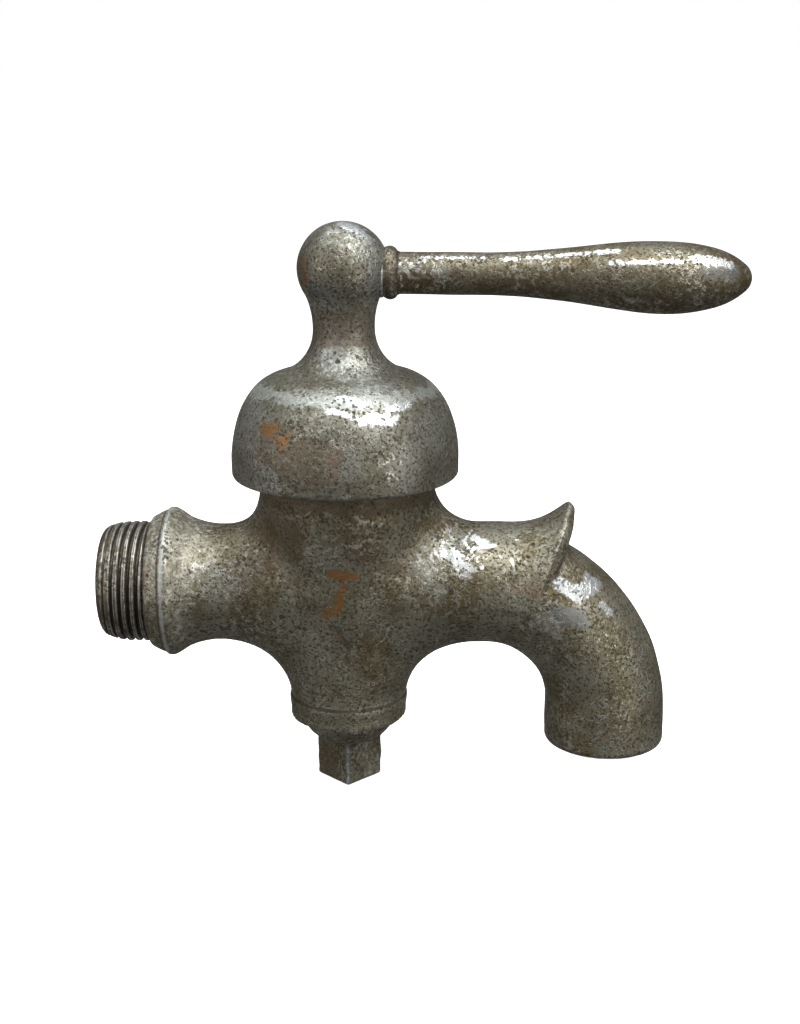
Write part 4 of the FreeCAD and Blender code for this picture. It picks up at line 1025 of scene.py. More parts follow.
@dataclass
class FaucetBody:
    """The casting: barrel, inlet with its collar, and spout with its lip. In millimetres."""

    cell: float = 0.56
    spout_reach: float = 57.3
    spout_radius: float = 13.2
    waist_radius: float = 12.75
    elbow_radius: float = 27.3
    collar_face: float = -42.7
    stub_radius: float = 11.9
    top_blend: float = 9.8
    top_blend_spout: float = 13.0
    side_blend: float = 4.2
    web_spout: tuple[float, float, float] = (28.1, 29.9, 28.2)
    web_inlet: tuple[float, float, float] = (27.6, 28.8, 27.4)
    web_radius: float = 11.5
    web_overlap: float = 4.0
    web_foot: float = -30.0
    web_least_blend: float = 0.05
    web_most_blend: float = 3.2
    stem_bottom: float = -30.7
    rim_round: float = 0.8
    foot_middle: float = -28.2
    foot_half: float = 2.9
    passage_bend: float = 26.2
    passage_ring: float = 21.6
    passage_radius: float = 5.0
    port_height: float = 3.2
    port_radius: float = 6.5
    lip_angle: float = 23.4
    lip_rise: float = 10.3
    lip_start: float = -7.0
    lip_power: float = 6.8
    lip_bevel: float = 2.5
    lip_spread: float = 0.5
    parting_line: float = -25.4
    parting_depth: float = 0.13
    parting_reach: float = 20.0
    bore: float = 8.5
    spout_bore: float = 10.5
    ripple: Ripple = field(default_factory=lambda: Ripple(0.07))

    def barrel(self, x: np.ndarray, y: np.ndarray, z: np.ndarray) -> np.ndarray:
        """Distance to the barrel down to its stem.

        Args:
            x: places along the inlet, from the barrel's axis.
            y: places across it.
            z: heights.

        Returns:
            The distances, below nought inside.
        """
        radius = Fair([-60, -31, -26, -22, -15, -6, 4, 13, 19, 23, 30],
                      [12.9, 12.9, 12.9, 12.95, 13.5, 15.0, 16.6, 18.0, 18.6, 18.6, 18.6])
        wall = radius.distance(z, np.hypot(x, y))
        stem = np.maximum(wall, self.stem_bottom - z)
        return -smooth_union(-stem, BODY_TOP - z, self.rim_round)

    def inlet(self, x: np.ndarray, y: np.ndarray, z: np.ndarray) -> np.ndarray:
        """Distance to the inlet's tube and its collar, with the small step at the crest.

        Args:
            x: places along the inlet, from the barrel's axis.
            y: places across it.
            z: heights.

        Returns:
            The distances, below nought inside.
        """
        radius = Fair([-46, -43.4, -42.6, -41.8, -40.6, -39.6, -39.2, -38.8,
                       -38.0, -37.1, -36.2, -34.2, -31, -28, -24, 0],
                      [13.4, 13.5, 14.3, 14.7, 15.3, 15.72, 15.85, 16.28,
                       16.3, 15.95, 15.4, 14.15, 13.15, 12.75, 12.7, 12.7])
        across = np.hypot(y, z)
        wall = np.maximum(radius.distance(x, across), x)
        tube = -smooth_union(-wall, x - self.collar_face, 0.7)
        stub = np.maximum(np.maximum(across - self.stub_radius, x), self.collar_face - 1.0 - x)
        return np.minimum(tube, stub)

    def spout_frame(self, x: np.ndarray, z: np.ndarray) -> tuple[np.ndarray, np.ndarray]:
        """Place along the spout's centreline past its bend's start, and height above it.

        Args:
            x: places along the inlet, from the barrel's axis.
            z: heights.

        Returns:
            The places along the line and the heights above it.
        """
        bend_x = self.spout_reach - self.elbow_radius
        angle = np.arctan2(x - bend_x, z + self.elbow_radius)
        straight, down = x < bend_x, z < -self.elbow_radius
        quarter = self.elbow_radius * math.pi / 2
        along = np.where(straight & ~down, x - bend_x, self.elbow_radius * angle)
        along = np.where(down, quarter - self.elbow_radius - z, along)
        above = np.hypot(x - bend_x, z + self.elbow_radius) - self.elbow_radius
        above = np.where(straight & ~down, z, above)
        above = np.where(down, x - self.spout_reach, above)
        return along, above

    def spout(self, x: np.ndarray, y: np.ndarray, z: np.ndarray) -> np.ndarray:
        """Distance to the spout's tube, which is a little thinner in its bend.

        Args:
            x: places along the inlet, from the barrel's axis.
            y: places across it.
            z: heights.

        Returns:
            The distances, below nought inside.
        """
        along, above = self.spout_frame(x, z)
        thick, thin = self.spout_radius, self.waist_radius
        radius = Fair([-40, -4, 8, 24, 36, 44, 60], [thick, thick, thick - 0.1, thin, thin + 0.1,
                                                     thick, thick])
        above = above + (thick - radius(along))
        tube = radius.distance(along, np.hypot(above, y))
        tube = np.where((x < 10) & (z < -self.elbow_radius), 30.0, tube)
        tube = np.maximum(tube, -x)
        return -smooth_union(-tube, z - OUTLET_HEIGHT, 1.1)

    def lip(self, x: np.ndarray, y: np.ndarray, z: np.ndarray) -> np.ndarray:
        """Distance to the horn-like lip over the spout's back.

        Args:
            x: places along the inlet, from the barrel's axis.
            y: places across it.
            z: heights.

        Returns:
            The distances, below nought inside.
        """
        along, above = self.spout_frame(x, z)
        bend_x = self.spout_reach - self.elbow_radius
        end = math.radians(self.lip_angle) * self.elbow_radius
        share = np.clip((along - self.lip_start) / (end - self.lip_start), 0.0, 1.15)
        width = self.spout_radius - 0.15 + self.lip_spread * share ** 2
        tall = width + self.lip_rise * share ** self.lip_power
        height = np.where(above > 0, above * width / tall, above)
        length = np.hypot(height, y)
        slope = np.sqrt(1 + (above / np.maximum(length, 1e-6) * (1 - width / tall)) ** 2)
        flare = (length - width) / slope
        angle = math.radians(self.lip_angle)
        face = (x - bend_x) * math.cos(angle) - (z + self.elbow_radius) * math.sin(angle)
        tip = self.spout_radius + self.lip_rise
        face = face - np.interp(above, [0, 6, 13, 18, tip], [0.0, 0.5, 1.3, 1.0, 0.0])
        bevel = self.lip_bevel * np.interp(above, [0, 5, 12, tip - 4, tip],
                                           [0.25, 0.6, 1.0, 0.85, 0.3])
        shape = bevelled(flare, face, bevel)
        return np.maximum(np.maximum(shape, self.lip_start + bend_x - x), -2.0 - above)

    def web(self, x: np.ndarray, y: np.ndarray, z: np.ndarray, side: int) -> np.ndarray:
        """Distance to the curved web under one branch, on the side with this sign.

        Args:
            x: places along the inlet, from the barrel's axis.
            y: places across it.
            z: heights.
            side: 1 for the spout's side, -1 for the inlet's.

        Returns:
            The distances, below nought inside.
        """
        out, down, bend = self.web_spout if side > 0 else self.web_inlet
        reach = x * side
        across = np.hypot(reach - out, z + down) - bend
        across = np.where(reach > out, z + down - bend, across)
        across = np.where(z < -down, reach - out + bend, across)
        web = np.hypot(across, y) - self.web_radius
        return np.maximum(web, np.maximum(reach - out - self.web_overlap, self.web_foot - z))

    def web_blend(self, x: np.ndarray, z: np.ndarray, side: int) -> np.ndarray:
        """Width of the rounding beside a web, which dies out towards both of its ends.

        Args:
            x: places along the inlet, from the barrel's axis.
            z: heights.
            side: 1 for the spout's side, -1 for the inlet's.

        Returns:
            The widths.
        """
        out, down, _ = self.web_spout if side > 0 else self.web_inlet
        turn = np.arctan2(out - x * side, z + down) / (math.pi / 2)
        swell = np.sin(math.pi * np.clip(turn, 0.0, 1.0)) ** 1.5
        return self.web_least_blend + self.web_most_blend * swell

    def foot(self, x: np.ndarray, y: np.ndarray, z: np.ndarray) -> np.ndarray:
        """Distance to the bead round the foot of the stem.

        Args:
            x: places along the inlet, from the barrel's axis.
            y: places across it.
            z: heights.

        Returns:
            The distances, below nought inside.
        """
        radius = Fair([-31.2, -30.7, -30.2, -29.2, -27.8, -26.4, -25.6, -25.0],
                      [9.4, 10.0, 10.9, 12.1, 12.9, 13.1, 13.0, 12.8])
        return np.maximum(radius.distance(z, np.hypot(x, y)),
                          np.abs(z - self.foot_middle) - self.foot_half)

    def water_way(self, x: np.ndarray, y: np.ndarray, z: np.ndarray) -> np.ndarray:
        """Distance to the chambers and bores that the water goes through.

        Args:
            x: places along the inlet, from the barrel's axis.
            y: places across it.
            z: heights.

        Returns:
            The distances, below nought inside.
        """
        across = np.hypot(x, y)
        radius = Fair([-40, -30.7, -24.8, -23.8, -8.9, -8.3, -3.7, -3.3, 5.0, 19.8, 20.2, 30],
                      [8.2, 8.2, 8.2, 9.2, 9.2, 7.0, 7.0, 9.0, 13.0, 13.0, 14.5, 14.5])
        barrel = radius.distance(z, across)
        inlet = np.maximum(np.hypot(y, z) - self.bore, x + 33.5)
        bend, lower = self.passage_ring, self.passage_bend
        ring = np.hypot(x + lower, z + lower) - bend
        passage = np.maximum(np.hypot(ring, y) - self.passage_radius,
                             np.maximum(-lower - x, -lower + self.passage_radius - z))
        start = bend - lower
        passage = np.minimum(passage, np.maximum(
            np.hypot(z - start, y) - self.passage_radius, np.maximum(x + lower, -36.0 - x)))
        port = np.maximum(np.hypot(y, z - self.port_height) - self.port_radius,
                          np.maximum(-x, x - 16.0))
        along, above = self.spout_frame(x, z)
        spout = np.maximum(np.hypot(above, y) - self.spout_bore, 15.4 - x)
        return np.minimum.reduce([barrel, inlet, passage, port, spout])

    def shape(self, x: np.ndarray, y: np.ndarray, z: np.ndarray) -> np.ndarray:
        """Distance to the whole casting.

        Args:
            x: places along the inlet, from the barrel's axis.
            y: places across it.
            z: heights.

        Returns:
            The distances, below nought inside.
        """
        spout = self.spout(x, y, z)
        upper = np.exp(-(y / 9) ** 2) * np.interp(z, [-3, 5], [0, 1])
        top = np.where(x < 0, self.top_blend, self.top_blend_spout)
        blend = self.side_blend + (top - self.side_blend) * upper
        trunk = smooth_union(self.barrel(x, y, z), self.inlet(x, y, z), blend)
        trunk = smooth_union(trunk, spout, blend)
        for side in (-1, 1):
            trunk = smooth_union(trunk, self.web(x, y, z, side), self.web_blend(x, z, side))
        trunk = np.maximum(trunk, z - BODY_TOP)
        trunk = smooth_union(trunk, self.lip(x, y, z), 0.7)
        trunk = smooth_union(trunk, self.foot(x, y, z), 0.5)
        crease = np.exp(-((z - self.parting_line) / 0.3) ** 2)
        trunk = trunk + np.where(x < self.parting_reach, self.parting_depth, 0) * crease
        trunk = trunk - self.ripple(x, y, z) * np.clip((z - OUTLET_HEIGHT) / 4, 0, 1)
        return smooth_cut(trunk, self.water_way(x, y, z), 0.7)

    def build(self) -> bpy.types.Object:
        """Make the casting's mesh.

        Returns:
            The object.
        """
        low = (self.collar_face - 2.5, -20.5, OUTLET_HEIGHT - 1.2)
        high = (self.spout_reach + self.spout_radius + 1.2, 20.5, BODY_TOP + 1.2)
        points, faces = skin(self.shape, low, high, self.cell)
        points[:, 2] = np.maximum(points[:, 2], OUTLET_HEIGHT)
        reach = float(BODY_HIGH[0]) - AXIS_X
        points[:, 0] = np.minimum(points[:, 0], reach)
        return four_sided("faucet_casting", points, faces)


# ---------------------------------------------------------------- inlet thread

@dataclass
class InletThread:
    """The worn pipe thread on the inlet, cut into a turned sleeve."""

    pitch: float = 1.814
    crest: float = 13.2
    root: float = 12.05
    bore: float = 8.5
    back: float = -42.3
    end: float = -53.5
    sides: int = 176
    step: float = 0.1

    def sleeve(self) -> bpy.types.Object:
        """Turn the plain sleeve with its worn, rounded end.

        Returns:
            The object.
        """
        end = self.end
        outline = [(self.bore, self.back), (11.5, self.back)]
        outline += run((11.9, self.back), (self.crest, -43.4), self.step)
        outline += run((self.crest, -43.4), (self.crest, -47.6), self.step)
        outline += run((self.crest, -47.6), (12.85, -50.2), self.step)
        outline += run((12.85, -50.2), (12.35, -51.8), self.step)
        outline += arc((12.35, -51.8), (10.4, end), 2.3, -1, 16)
        outline += [(10.4, end), (9.3, end)]
        outline += arc((9.0, end), (self.bore, end + 0.5), 0.5, -1, 4)
        outline += [(self.bore, end + 0.5), (self.bore, end + 5.0)]
        return turned("inlet_thread", outline, self.sides, along_x=True)

    def cutter(self, material: bpy.types.Material) -> bpy.types.NodeTree:
        """Geometry nodes that cut the helical groove to a given pitch and depth.

        Args:
            material: the thread's material.

        Returns:
            The node tree.
        """
        wiring, given, out = new_group("thread_cutter", "GeometryNodeTree", {
            "Geometry": ("NodeSocketGeometry", None), "Pitch": (FLOAT, self.pitch * MM),
            "Root Radius": (FLOAT, self.root * MM), "Crest Radius": (FLOAT, self.crest * MM),
            "Bore Radius": (FLOAT, self.bore * MM), "Cut Starts": (FLOAT, 0.0),
            "Cut Ends": (FLOAT, 0.0103), "Nick Depth": (FLOAT, 0.00035)},
            {"Geometry": "NodeSocketGeometry"})
        give = given.outputs
        spot = wiring.add("ShaderNodeSeparateXYZ",
                          {0: wiring.add("GeometryNodeInputPosition").outputs[0]})
        along, side, up = spot.outputs
        radius = wiring.math("SQRT", wiring.math(
            "ADD", wiring.math("MULTIPLY", side, side), wiring.math("MULTIPLY", up, up)))
        turn = wiring.math("DIVIDE", wiring.math("ARCTAN2", up, side), 2 * math.pi)
        phase = wiring.math("FRACT", wiring.math(
            "ADD", wiring.math("DIVIDE", along, give["Pitch"]), turn))
        ridge = wiring.math("ABSOLUTE", wiring.math("SUBTRACT", phase, 0.5))
        height = wiring.ramp(ridge, 0.10, 0.34)
        nicks = wiring.noise(wiring.add("GeometryNodeInputPosition").outputs[0], 700.0, 3.0)
        nicks = wiring.math("MULTIPLY", wiring.ramp(nicks, 0.56, 0.74), give["Nick Depth"])
        cut = wiring.level(height, give["Root Radius"], give["Crest Radius"])
        cut = wiring.math("SUBTRACT", cut, wiring.math("MULTIPLY", nicks, height))
        reach = wiring.math("MINIMUM", radius, cut)
        inside = wiring.math("MULTIPLY", wiring.math("LESS_THAN", along, give["Cut Ends"]),
                             wiring.math("GREATER_THAN", radius, wiring.math(
                                 "ADD", give["Bore Radius"], 0.0024)))
        inside = wiring.math("MULTIPLY", inside,
                             wiring.math("GREATER_THAN", along, give["Cut Starts"]))
        reach = wiring.level(inside, radius, reach)
        share = wiring.math("DIVIDE", reach, radius)
        place_to = wiring.add("ShaderNodeCombineXYZ", {
            0: along, 1: wiring.math("MULTIPLY", side, share),
            2: wiring.math("MULTIPLY", up, share)})
        moved = wiring.add("GeometryNodeSetPosition", {"Geometry": give["Geometry"],
                                                       "Position": place_to.outputs[0]})
        real = wiring.add("GeometryNodeRealizeInstances", {0: moved.outputs[0]})
        dressed = wiring.add("GeometryNodeSetMaterial", {"Geometry": real.outputs[0],
                                                         "Material": material})
        wiring.feed(out.inputs["Geometry"], dressed.outputs[0])
        return wiring.tree

    def build(self, material: bpy.types.Material) -> bpy.types.Object:
        """Cut the sleeve's thread and give the finished plain mesh."""
        return bake_nodes("inlet_thread", self.sleeve(), self.cutter(material),
                          {"Pitch": self.pitch * MM})


def bake_nodes(name: str, piece: bpy.types.Object, tree: bpy.types.NodeTree,
               sizes: dict[str, float]) -> bpy.types.Object:
    """Run a geometry node tree on a piece and keep the result as a plain mesh.

    Args:
        name: the finished piece's name.
        piece: the object that carries the tree.
        tree: the tree.
        sizes: values for its named inputs.

    Returns:
        The finished object.
    """
    modifier = piece.modifiers.new(tree.name, "NODES")
    modifier.node_group = tree
    sockets = {item.name: item.identifier for item in tree.interface.items_tree
               if getattr(item, "in_out", "") == "INPUT"}
    for label, value in sizes.items():
        modifier[sockets[label]] = value
    graph = bpy.context.evaluated_depsgraph_get()
    graph.update()
    mesh = bpy.data.meshes.new_from_object(piece.evaluated_get(graph))
    bpy.data.objects.remove(piece)
    mesh.name = name
    if "bend" in mesh.attributes:
        mesh.attributes.remove(mesh.attributes["bend"])
    return finish_mesh(name, mesh)


# ---------------------------------------------------------------- return spring

@dataclass
class ReturnSpring:
    """Bronze torsion coil under the bell."""

    turns: float = 3.0
    wire: float = 0.9

    def coil(self, material: bpy.types.Material, radius: float, rise: float, base: float
             ) -> bpy.types.NodeTree:
        """Geometry nodes that wind the wire along a helix.

        Args:
            material: the wire's material.
            radius: radius of the coil, in metres.
            rise: height that it climbs.
            base: height of its lower end.

        Returns:
            The node tree.
        """
        wiring, given, out = new_group("spring_winder", "GeometryNodeTree", {
            "Geometry": ("NodeSocketGeometry", None), "Coil Radius": (FLOAT, radius),
            "Wire Radius": (FLOAT, self.wire * MM), "Turns": (FLOAT, self.turns),
            "Rise": (FLOAT, rise)}, {"Geometry": "NodeSocketGeometry"})
        give = given.outputs
        helix = wiring.add("GeometryNodeCurveSpiral", {
            "Resolution": 64, "Rotations": give["Turns"], "Start Radius": give["Coil Radius"],
            "End Radius": give["Coil Radius"], "Height": give["Rise"], "Reverse": False})
        section = wiring.add("GeometryNodeCurvePrimitiveCircle", {
            "Resolution": 20, "Radius": give["Wire Radius"]})
        wire = wiring.add("GeometryNodeCurveToMesh", {
            "Curve": helix.outputs[0], "Profile Curve": section.outputs[0], "Fill Caps": True})
        moved = wiring.add("GeometryNodeTransform", {
            "Geometry": wire.outputs[0], "Translation": (AXIS_X * MM, 0.0, base)})
        real = wiring.add("GeometryNodeRealizeInstances", {0: moved.outputs[0]})
        dressed = wiring.add("GeometryNodeSetMaterial", {"Geometry": real.outputs[0],
                                                         "Material": material})
        wiring.feed(out.inputs["Geometry"], dressed.outputs[0])
        return wiring.tree

    def build(self, material: bpy.types.Material) -> bpy.types.Object:
        """Wind the spring in the space that its part holds.

        Args:
            material: the wire's material.

        Returns:
            The object.
        """
        low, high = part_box("return_spring")
        radius = (high.x - low.x) / 2 - self.wire * MM
        rise = high.z - low.z - 2 * self.wire * MM
        holder = bpy.data.objects.new("spring_holder", bpy.data.meshes.new("spring_holder"))
        bpy.context.scene.collection.objects.link(holder)
        tree = self.coil(material, radius, rise, low.z + self.wire * MM)
        return bake_nodes("return_coil", holder, tree, {
            "Coil Radius": radius, "Rise": rise, "Wire Radius": self.wire * MM})


# ---------------------------------------------------------------- handle

@dataclass
class HandleBell:
    """Bell, neck and ball in one casting, with the lever's boss."""

    radius: float = 24.42
    inner: float = 22.3
    rim_round: float = 0.9
    skirt: float = 4.4
    height: float = 22.4
    neck: float = 6.5
    neck_height: float = 31.3
    ball: float = 9.7
    join_angle: float = 34.5
    sides: int = 200
    ripple: Ripple = field(default_factory=lambda: Ripple(0.05, seed=11))

    def outline(self) -> list[tuple[float, float]]:
        """Outline from the top of the ball down the outside and up into the cavity.

        Returns:
            Distance from the axis and height of each point.
        """
        rim, top, size = RIM_HEIGHT, RIM_HEIGHT + self.height, self.radius
        ball_centre = float(BELL_HIGH[2]) - self.ball
        join = math.radians(self.join_angle)
        join_at = (self.ball * math.cos(join), ball_centre - self.ball * math.sin(join))
        neck_at = (self.neck, rim + self.neck_height)
        shoulder, haunch = (size - 10.6, top - 0.4), (size - 4.1, top - 4.8)
        skirt_top, waist = (size, rim + self.skirt), (size - 1.7, rim + self.skirt + 8.8)
        points = [(self.ball * math.sin(a), ball_centre + self.ball * math.cos(a))
                  for a in np.linspace(0, math.pi / 2 + join, 34)][:-1]
        points[0] = (0.0, points[0][1])
        points += arc(join_at, neck_at, 16.0, 1, 12)
        points += arc(neck_at, shoulder, 9.7, 1, 18)
        points += arc(shoulder, haunch, 11.8, -1, 16)
        points += arc(haunch, waist, 16.0, -1, 10)
        points += arc(waist, skirt_top, 30.0, -1, 12)
        corner = self.rim_round
        points += run(skirt_top, (size, rim + corner), 0.8)
        points += arc((size, rim + corner), (size - corner, rim), corner, -1, 8)
        points += [(size - corner, rim), (self.inner + 0.4, rim)]
        points += arc((self.inner + 0.4, rim), (self.inner, rim + 0.4), 0.4, -1, 4)
        hub = top - 1.0
        points += run((self.inner, rim + 0.4), (self.inner, hub - 13.0), 1.0)
        points += [(self.inner, hub - 13.0), (self.inner - 1.0, hub - 8.8),
                   (self.inner - 3.4, hub - 5.5), (self.inner - 9.8, hub - 2.0),
                   (self.neck, hub - 1.4), (self.neck, hub), (0.0, hub)]
        return points

    def build(self) -> bpy.types.Object:
        """Turn the bell."""
        return turned("bell_and_ball", self.outline(), self.sides, ripple=self.ripple)

    def boss(self) -> bpy.types.Object:
        """Turn the short boss on the ball that the lever is screwed up to.

        Returns:
            The object.
        """
        seat = float(LEVER_LOW[0]) - AXIS_X + 14.5
        outline = [(0.0, 3.0), (5.0, 3.0)]
        outline += run((5.35, 6.0), (5.2, seat - 0.3), 0.4)
        outline += arc((5.2, seat - 0.3), (4.9, seat), 0.3, 1, 4)
        outline += [(4.9, seat), (0.0, seat)]
        return turned("lever_boss", outline, 72, along_x=True, height=LEVER_HEIGHT)


@dataclass
class Lever:
    """Bat lever: shoulder bead, straight shank and club-shaped grip."""

    collar: float = 5.6
    shank: float = 4.4
    bat: float = 7.5
    tip_round: float = 3.6
    tail: float = 14.5
    ripple: Ripple = field(default_factory=lambda: Ripple(0.045, seed=23))

    def sag(self, piece: bpy.types.Object, seat: float, tip: float) -> bpy.types.Object:
        """Let the lever hang a little lower towards its grip, as the cast one does.

        Args:
            piece: the straight lever.
            seat: where it meets the ball.
            tip: where it ends.

        Returns:
            The same piece, bent.
        """
        line = Fair([0, 0.06, 0.3, 0.5, 0.63, 0.77, 1.0], [0, 0.12, 0.35, 0.5, 0.82, 1.22, 1.3])
        mesh = piece.data
        places = np.empty(len(mesh.vertices) * 3)
        mesh.vertices.foreach_get("co", places)
        places = places.reshape(-1, 3)
        share = np.clip((places[:, 0] / MM - AXIS_X - seat) / (tip - seat), 0.0, 1.0)
        places[:, 2] -= line(share) * MM
        mesh.vertices.foreach_set("co", places.ravel())
        mesh.update()
        return piece

    def build(self) -> bpy.types.Object:
        """Turn the lever between its seat on the ball and its tip.

        Returns:
            The object.
        """
        seat = float(LEVER_LOW[0]) - AXIS_X + self.tail
        tip = float(LEVER_HIGH[0]) - AXIS_X
        widest = tip - 18.5
        tip_centre = tip - self.tip_round
        end = math.radians(50)
        bead, foot = seat + 1.3, (self.shank + 0.12, seat + 3.1)
        outline = [(0.0, seat - 5.0), (1.9, seat - 5.0), (1.9, seat + 0.02),
                   (self.collar - 0.5, seat + 0.02)]
        outline += arc((self.collar - 0.5, seat + 0.02), (self.collar, bead), 1.9, 1, 7)
        outline += arc((self.collar, bead), (self.shank + 0.55, seat + 2.7), 1.7, 1, 9)
        outline += arc((self.shank + 0.55, seat + 2.7), foot, 0.9, -1, 5)
        outline += run((self.shank, seat + 3.5), (self.shank, seat + 22.9), 0.8)
        outline += arc((self.shank, seat + 22.9), (self.bat - 0.93, widest - 12.0), 200.0, -1, 26)
        outline += arc((self.bat - 0.93, widest - 12.0), (self.bat, widest), 80.0, 1, 14)
        outline += arc((self.bat, widest), (self.bat - 1.13, widest + 9.9), 44.0, 1, 12)
        tip_join = (self.tip_round * math.sin(end), tip_centre + self.tip_round * math.cos(end))
        outline += arc((self.bat - 1.13, widest + 9.9), tip_join, 16.4, 1, 12)
        outline += [(self.tip_round * math.sin(a), tip_centre + self.tip_round * math.cos(a))
                    for a in np.linspace(end, 0, 10)]
        outline[-1] = (0.0, tip)
        lever = turned("bat_lever", outline, 96, along_x=True, height=LEVER_HEIGHT,
                       ripple=self.ripple)
        return self.sag(lever, seat, tip)


# ---------------------------------------------------------------- bottom plug

@dataclass
class BottomPlug:
    """Screwed plug with its domed flange and worn wrench square."""

    cell: float = 0.3
    thread: float = 8.15
    thread_middle: float = -27.8
    thread_half: float = 3.6
    flange_middle: float = -33.6
    flange_half: float = 2.45
    half_side: float = 5.12
    square_top: float = -33.0
    guide_half: float = 1.9
    guide_floor: float = -41.9
    room: float = 11.4
    ripple: Ripple = field(default_factory=lambda: Ripple(0.09, 10, 9.0, 2.4, 31))

    def shape(self, x: np.ndarray, y: np.ndarray, z: np.ndarray) -> np.ndarray:
        """Distance to the plug.

        Args:
            x: places along the inlet, from the barrel's axis.
            y: places across it.
            z: heights.

        Returns:
            The distances, below nought inside.
        """
        across = np.hypot(x, y)
        dome = Fair([-36.6, -35.7, -35.0, -33.6, -32.3, -31.6, -31.2, -31.0],
                    [6.6, 7.3, 8.05, 9.3, 10.15, 10.3, 9.9, 9.4])
        flange = np.maximum(dome.distance(z, across),
                            np.abs(z - self.flange_middle) - self.flange_half)
        collar = np.maximum(across - self.thread,
                            np.abs(z - self.thread_middle) - self.thread_half)
        bottom = float(PLUG_LOW[2])
        one_way = np.abs(x + y) * math.sqrt(0.5) - self.half_side
        other_way = np.abs(x - y) * math.sqrt(0.5) - self.half_side
        shank = -smooth_union(-np.maximum(one_way, z - self.square_top), -other_way, 0.5)
        shank = -smooth_union(-shank, z - bottom, 0.8)
        whole = smooth_union(flange, shank, 0.9)
        whole = np.minimum(whole, collar)
        whole = whole - self.ripple(x, y, z) * np.clip((z - bottom) / 2, 0, 1)
        hole = np.maximum(np.maximum(np.abs(x), np.abs(y)) - self.guide_half,
                          self.guide_floor - z)
        return np.maximum(whole, -hole)

    def build(self) -> bpy.types.Object:
        """Make the plug's mesh.

        Returns:
            The object.
        """
        low = (-self.room, -self.room, float(PLUG_LOW[2]) - 0.8)
        points, faces = skin(self.shape, low, (self.room, self.room, -23.4), self.cell)
        points[:, 2] = np.maximum(points[:, 2], float(PLUG_LOW[2]))
        return four_sided("plug_and_square", points, faces)


# ---------------------------------------------------------------- camera, floor and lights

@dataclass(frozen=True)
class CameraStand:
    """Where the camera stands, about the barrel's axis. Lengths in millimetres."""

    lens: float = 53.45
    distance: float = 335.0
    pitch: float = 15.55
    turn: float = -1.31
    roll: float = -0.24
    right: float = 11.7
    rise: float = 15.15
    sensor: float = 36.0

    def build(self) -> bpy.types.Object:
        """Set up the camera and make it the scene's.

        Returns:
            The camera.
        """
        pitch, roll = math.radians(self.pitch), math.radians(self.roll)
        side = Vector((1, 0, 0))
        up = Vector((0, math.sin(pitch), math.cos(pitch)))
        ahead = Vector((0, math.cos(pitch), -math.sin(pitch)))
        spot = side * self.right + up * self.rise - ahead * self.distance
        rolled = side * math.cos(roll) + up * math.sin(roll)
        upright = up * math.cos(roll) - side * math.sin(roll)
        back = Matrix.Rotation(-math.radians(self.turn), 3, "Z")
        data = bpy.data.cameras.new("camera")
        data.lens, data.sensor_fit = self.lens, "VERTICAL"
        data.sensor_height = self.sensor
        data.clip_start = 0.02
        camera = bpy.data.objects.new("camera", data)
        axes = [back @ rolled, back @ upright, back @ -ahead]
        matrix = Matrix(axes).transposed().to_4x4()
        matrix.translation = (back @ spot + Vector((AXIS_X, 0, 0))) * MM
        camera.matrix_world = matrix
        bpy.context.scene.collection.objects.link(camera)
        bpy.context.scene.camera = camera
        return camera


@dataclass(frozen=True)
class Lamp:
    """One soft lamp: what it is called, where it stands, how big and how strong it is."""

    name: str
    spot: tuple[float, float, float]
    size: float
    power: float
    tint: tuple[float, float, float] = (1.0, 1.0, 1.0)

    def build(self, target: Vector) -> None:
        """Hang the lamp and point it at the target.

        Args:
            target: where it points.
        """
        data = bpy.data.lights.new(self.name, "AREA")
        data.shape, data.size, data.energy, data.color = "DISK", self.size, self.power, self.tint
        lamp = bpy.data.objects.new(self.name, data)
        spot = Vector(self.spot)
        lamp.location = spot
        lamp.rotation_euler = (target - spot).to_track_quat("-Z", "Y").to_euler()
        bpy.context.scene.collection.objects.link(lamp)


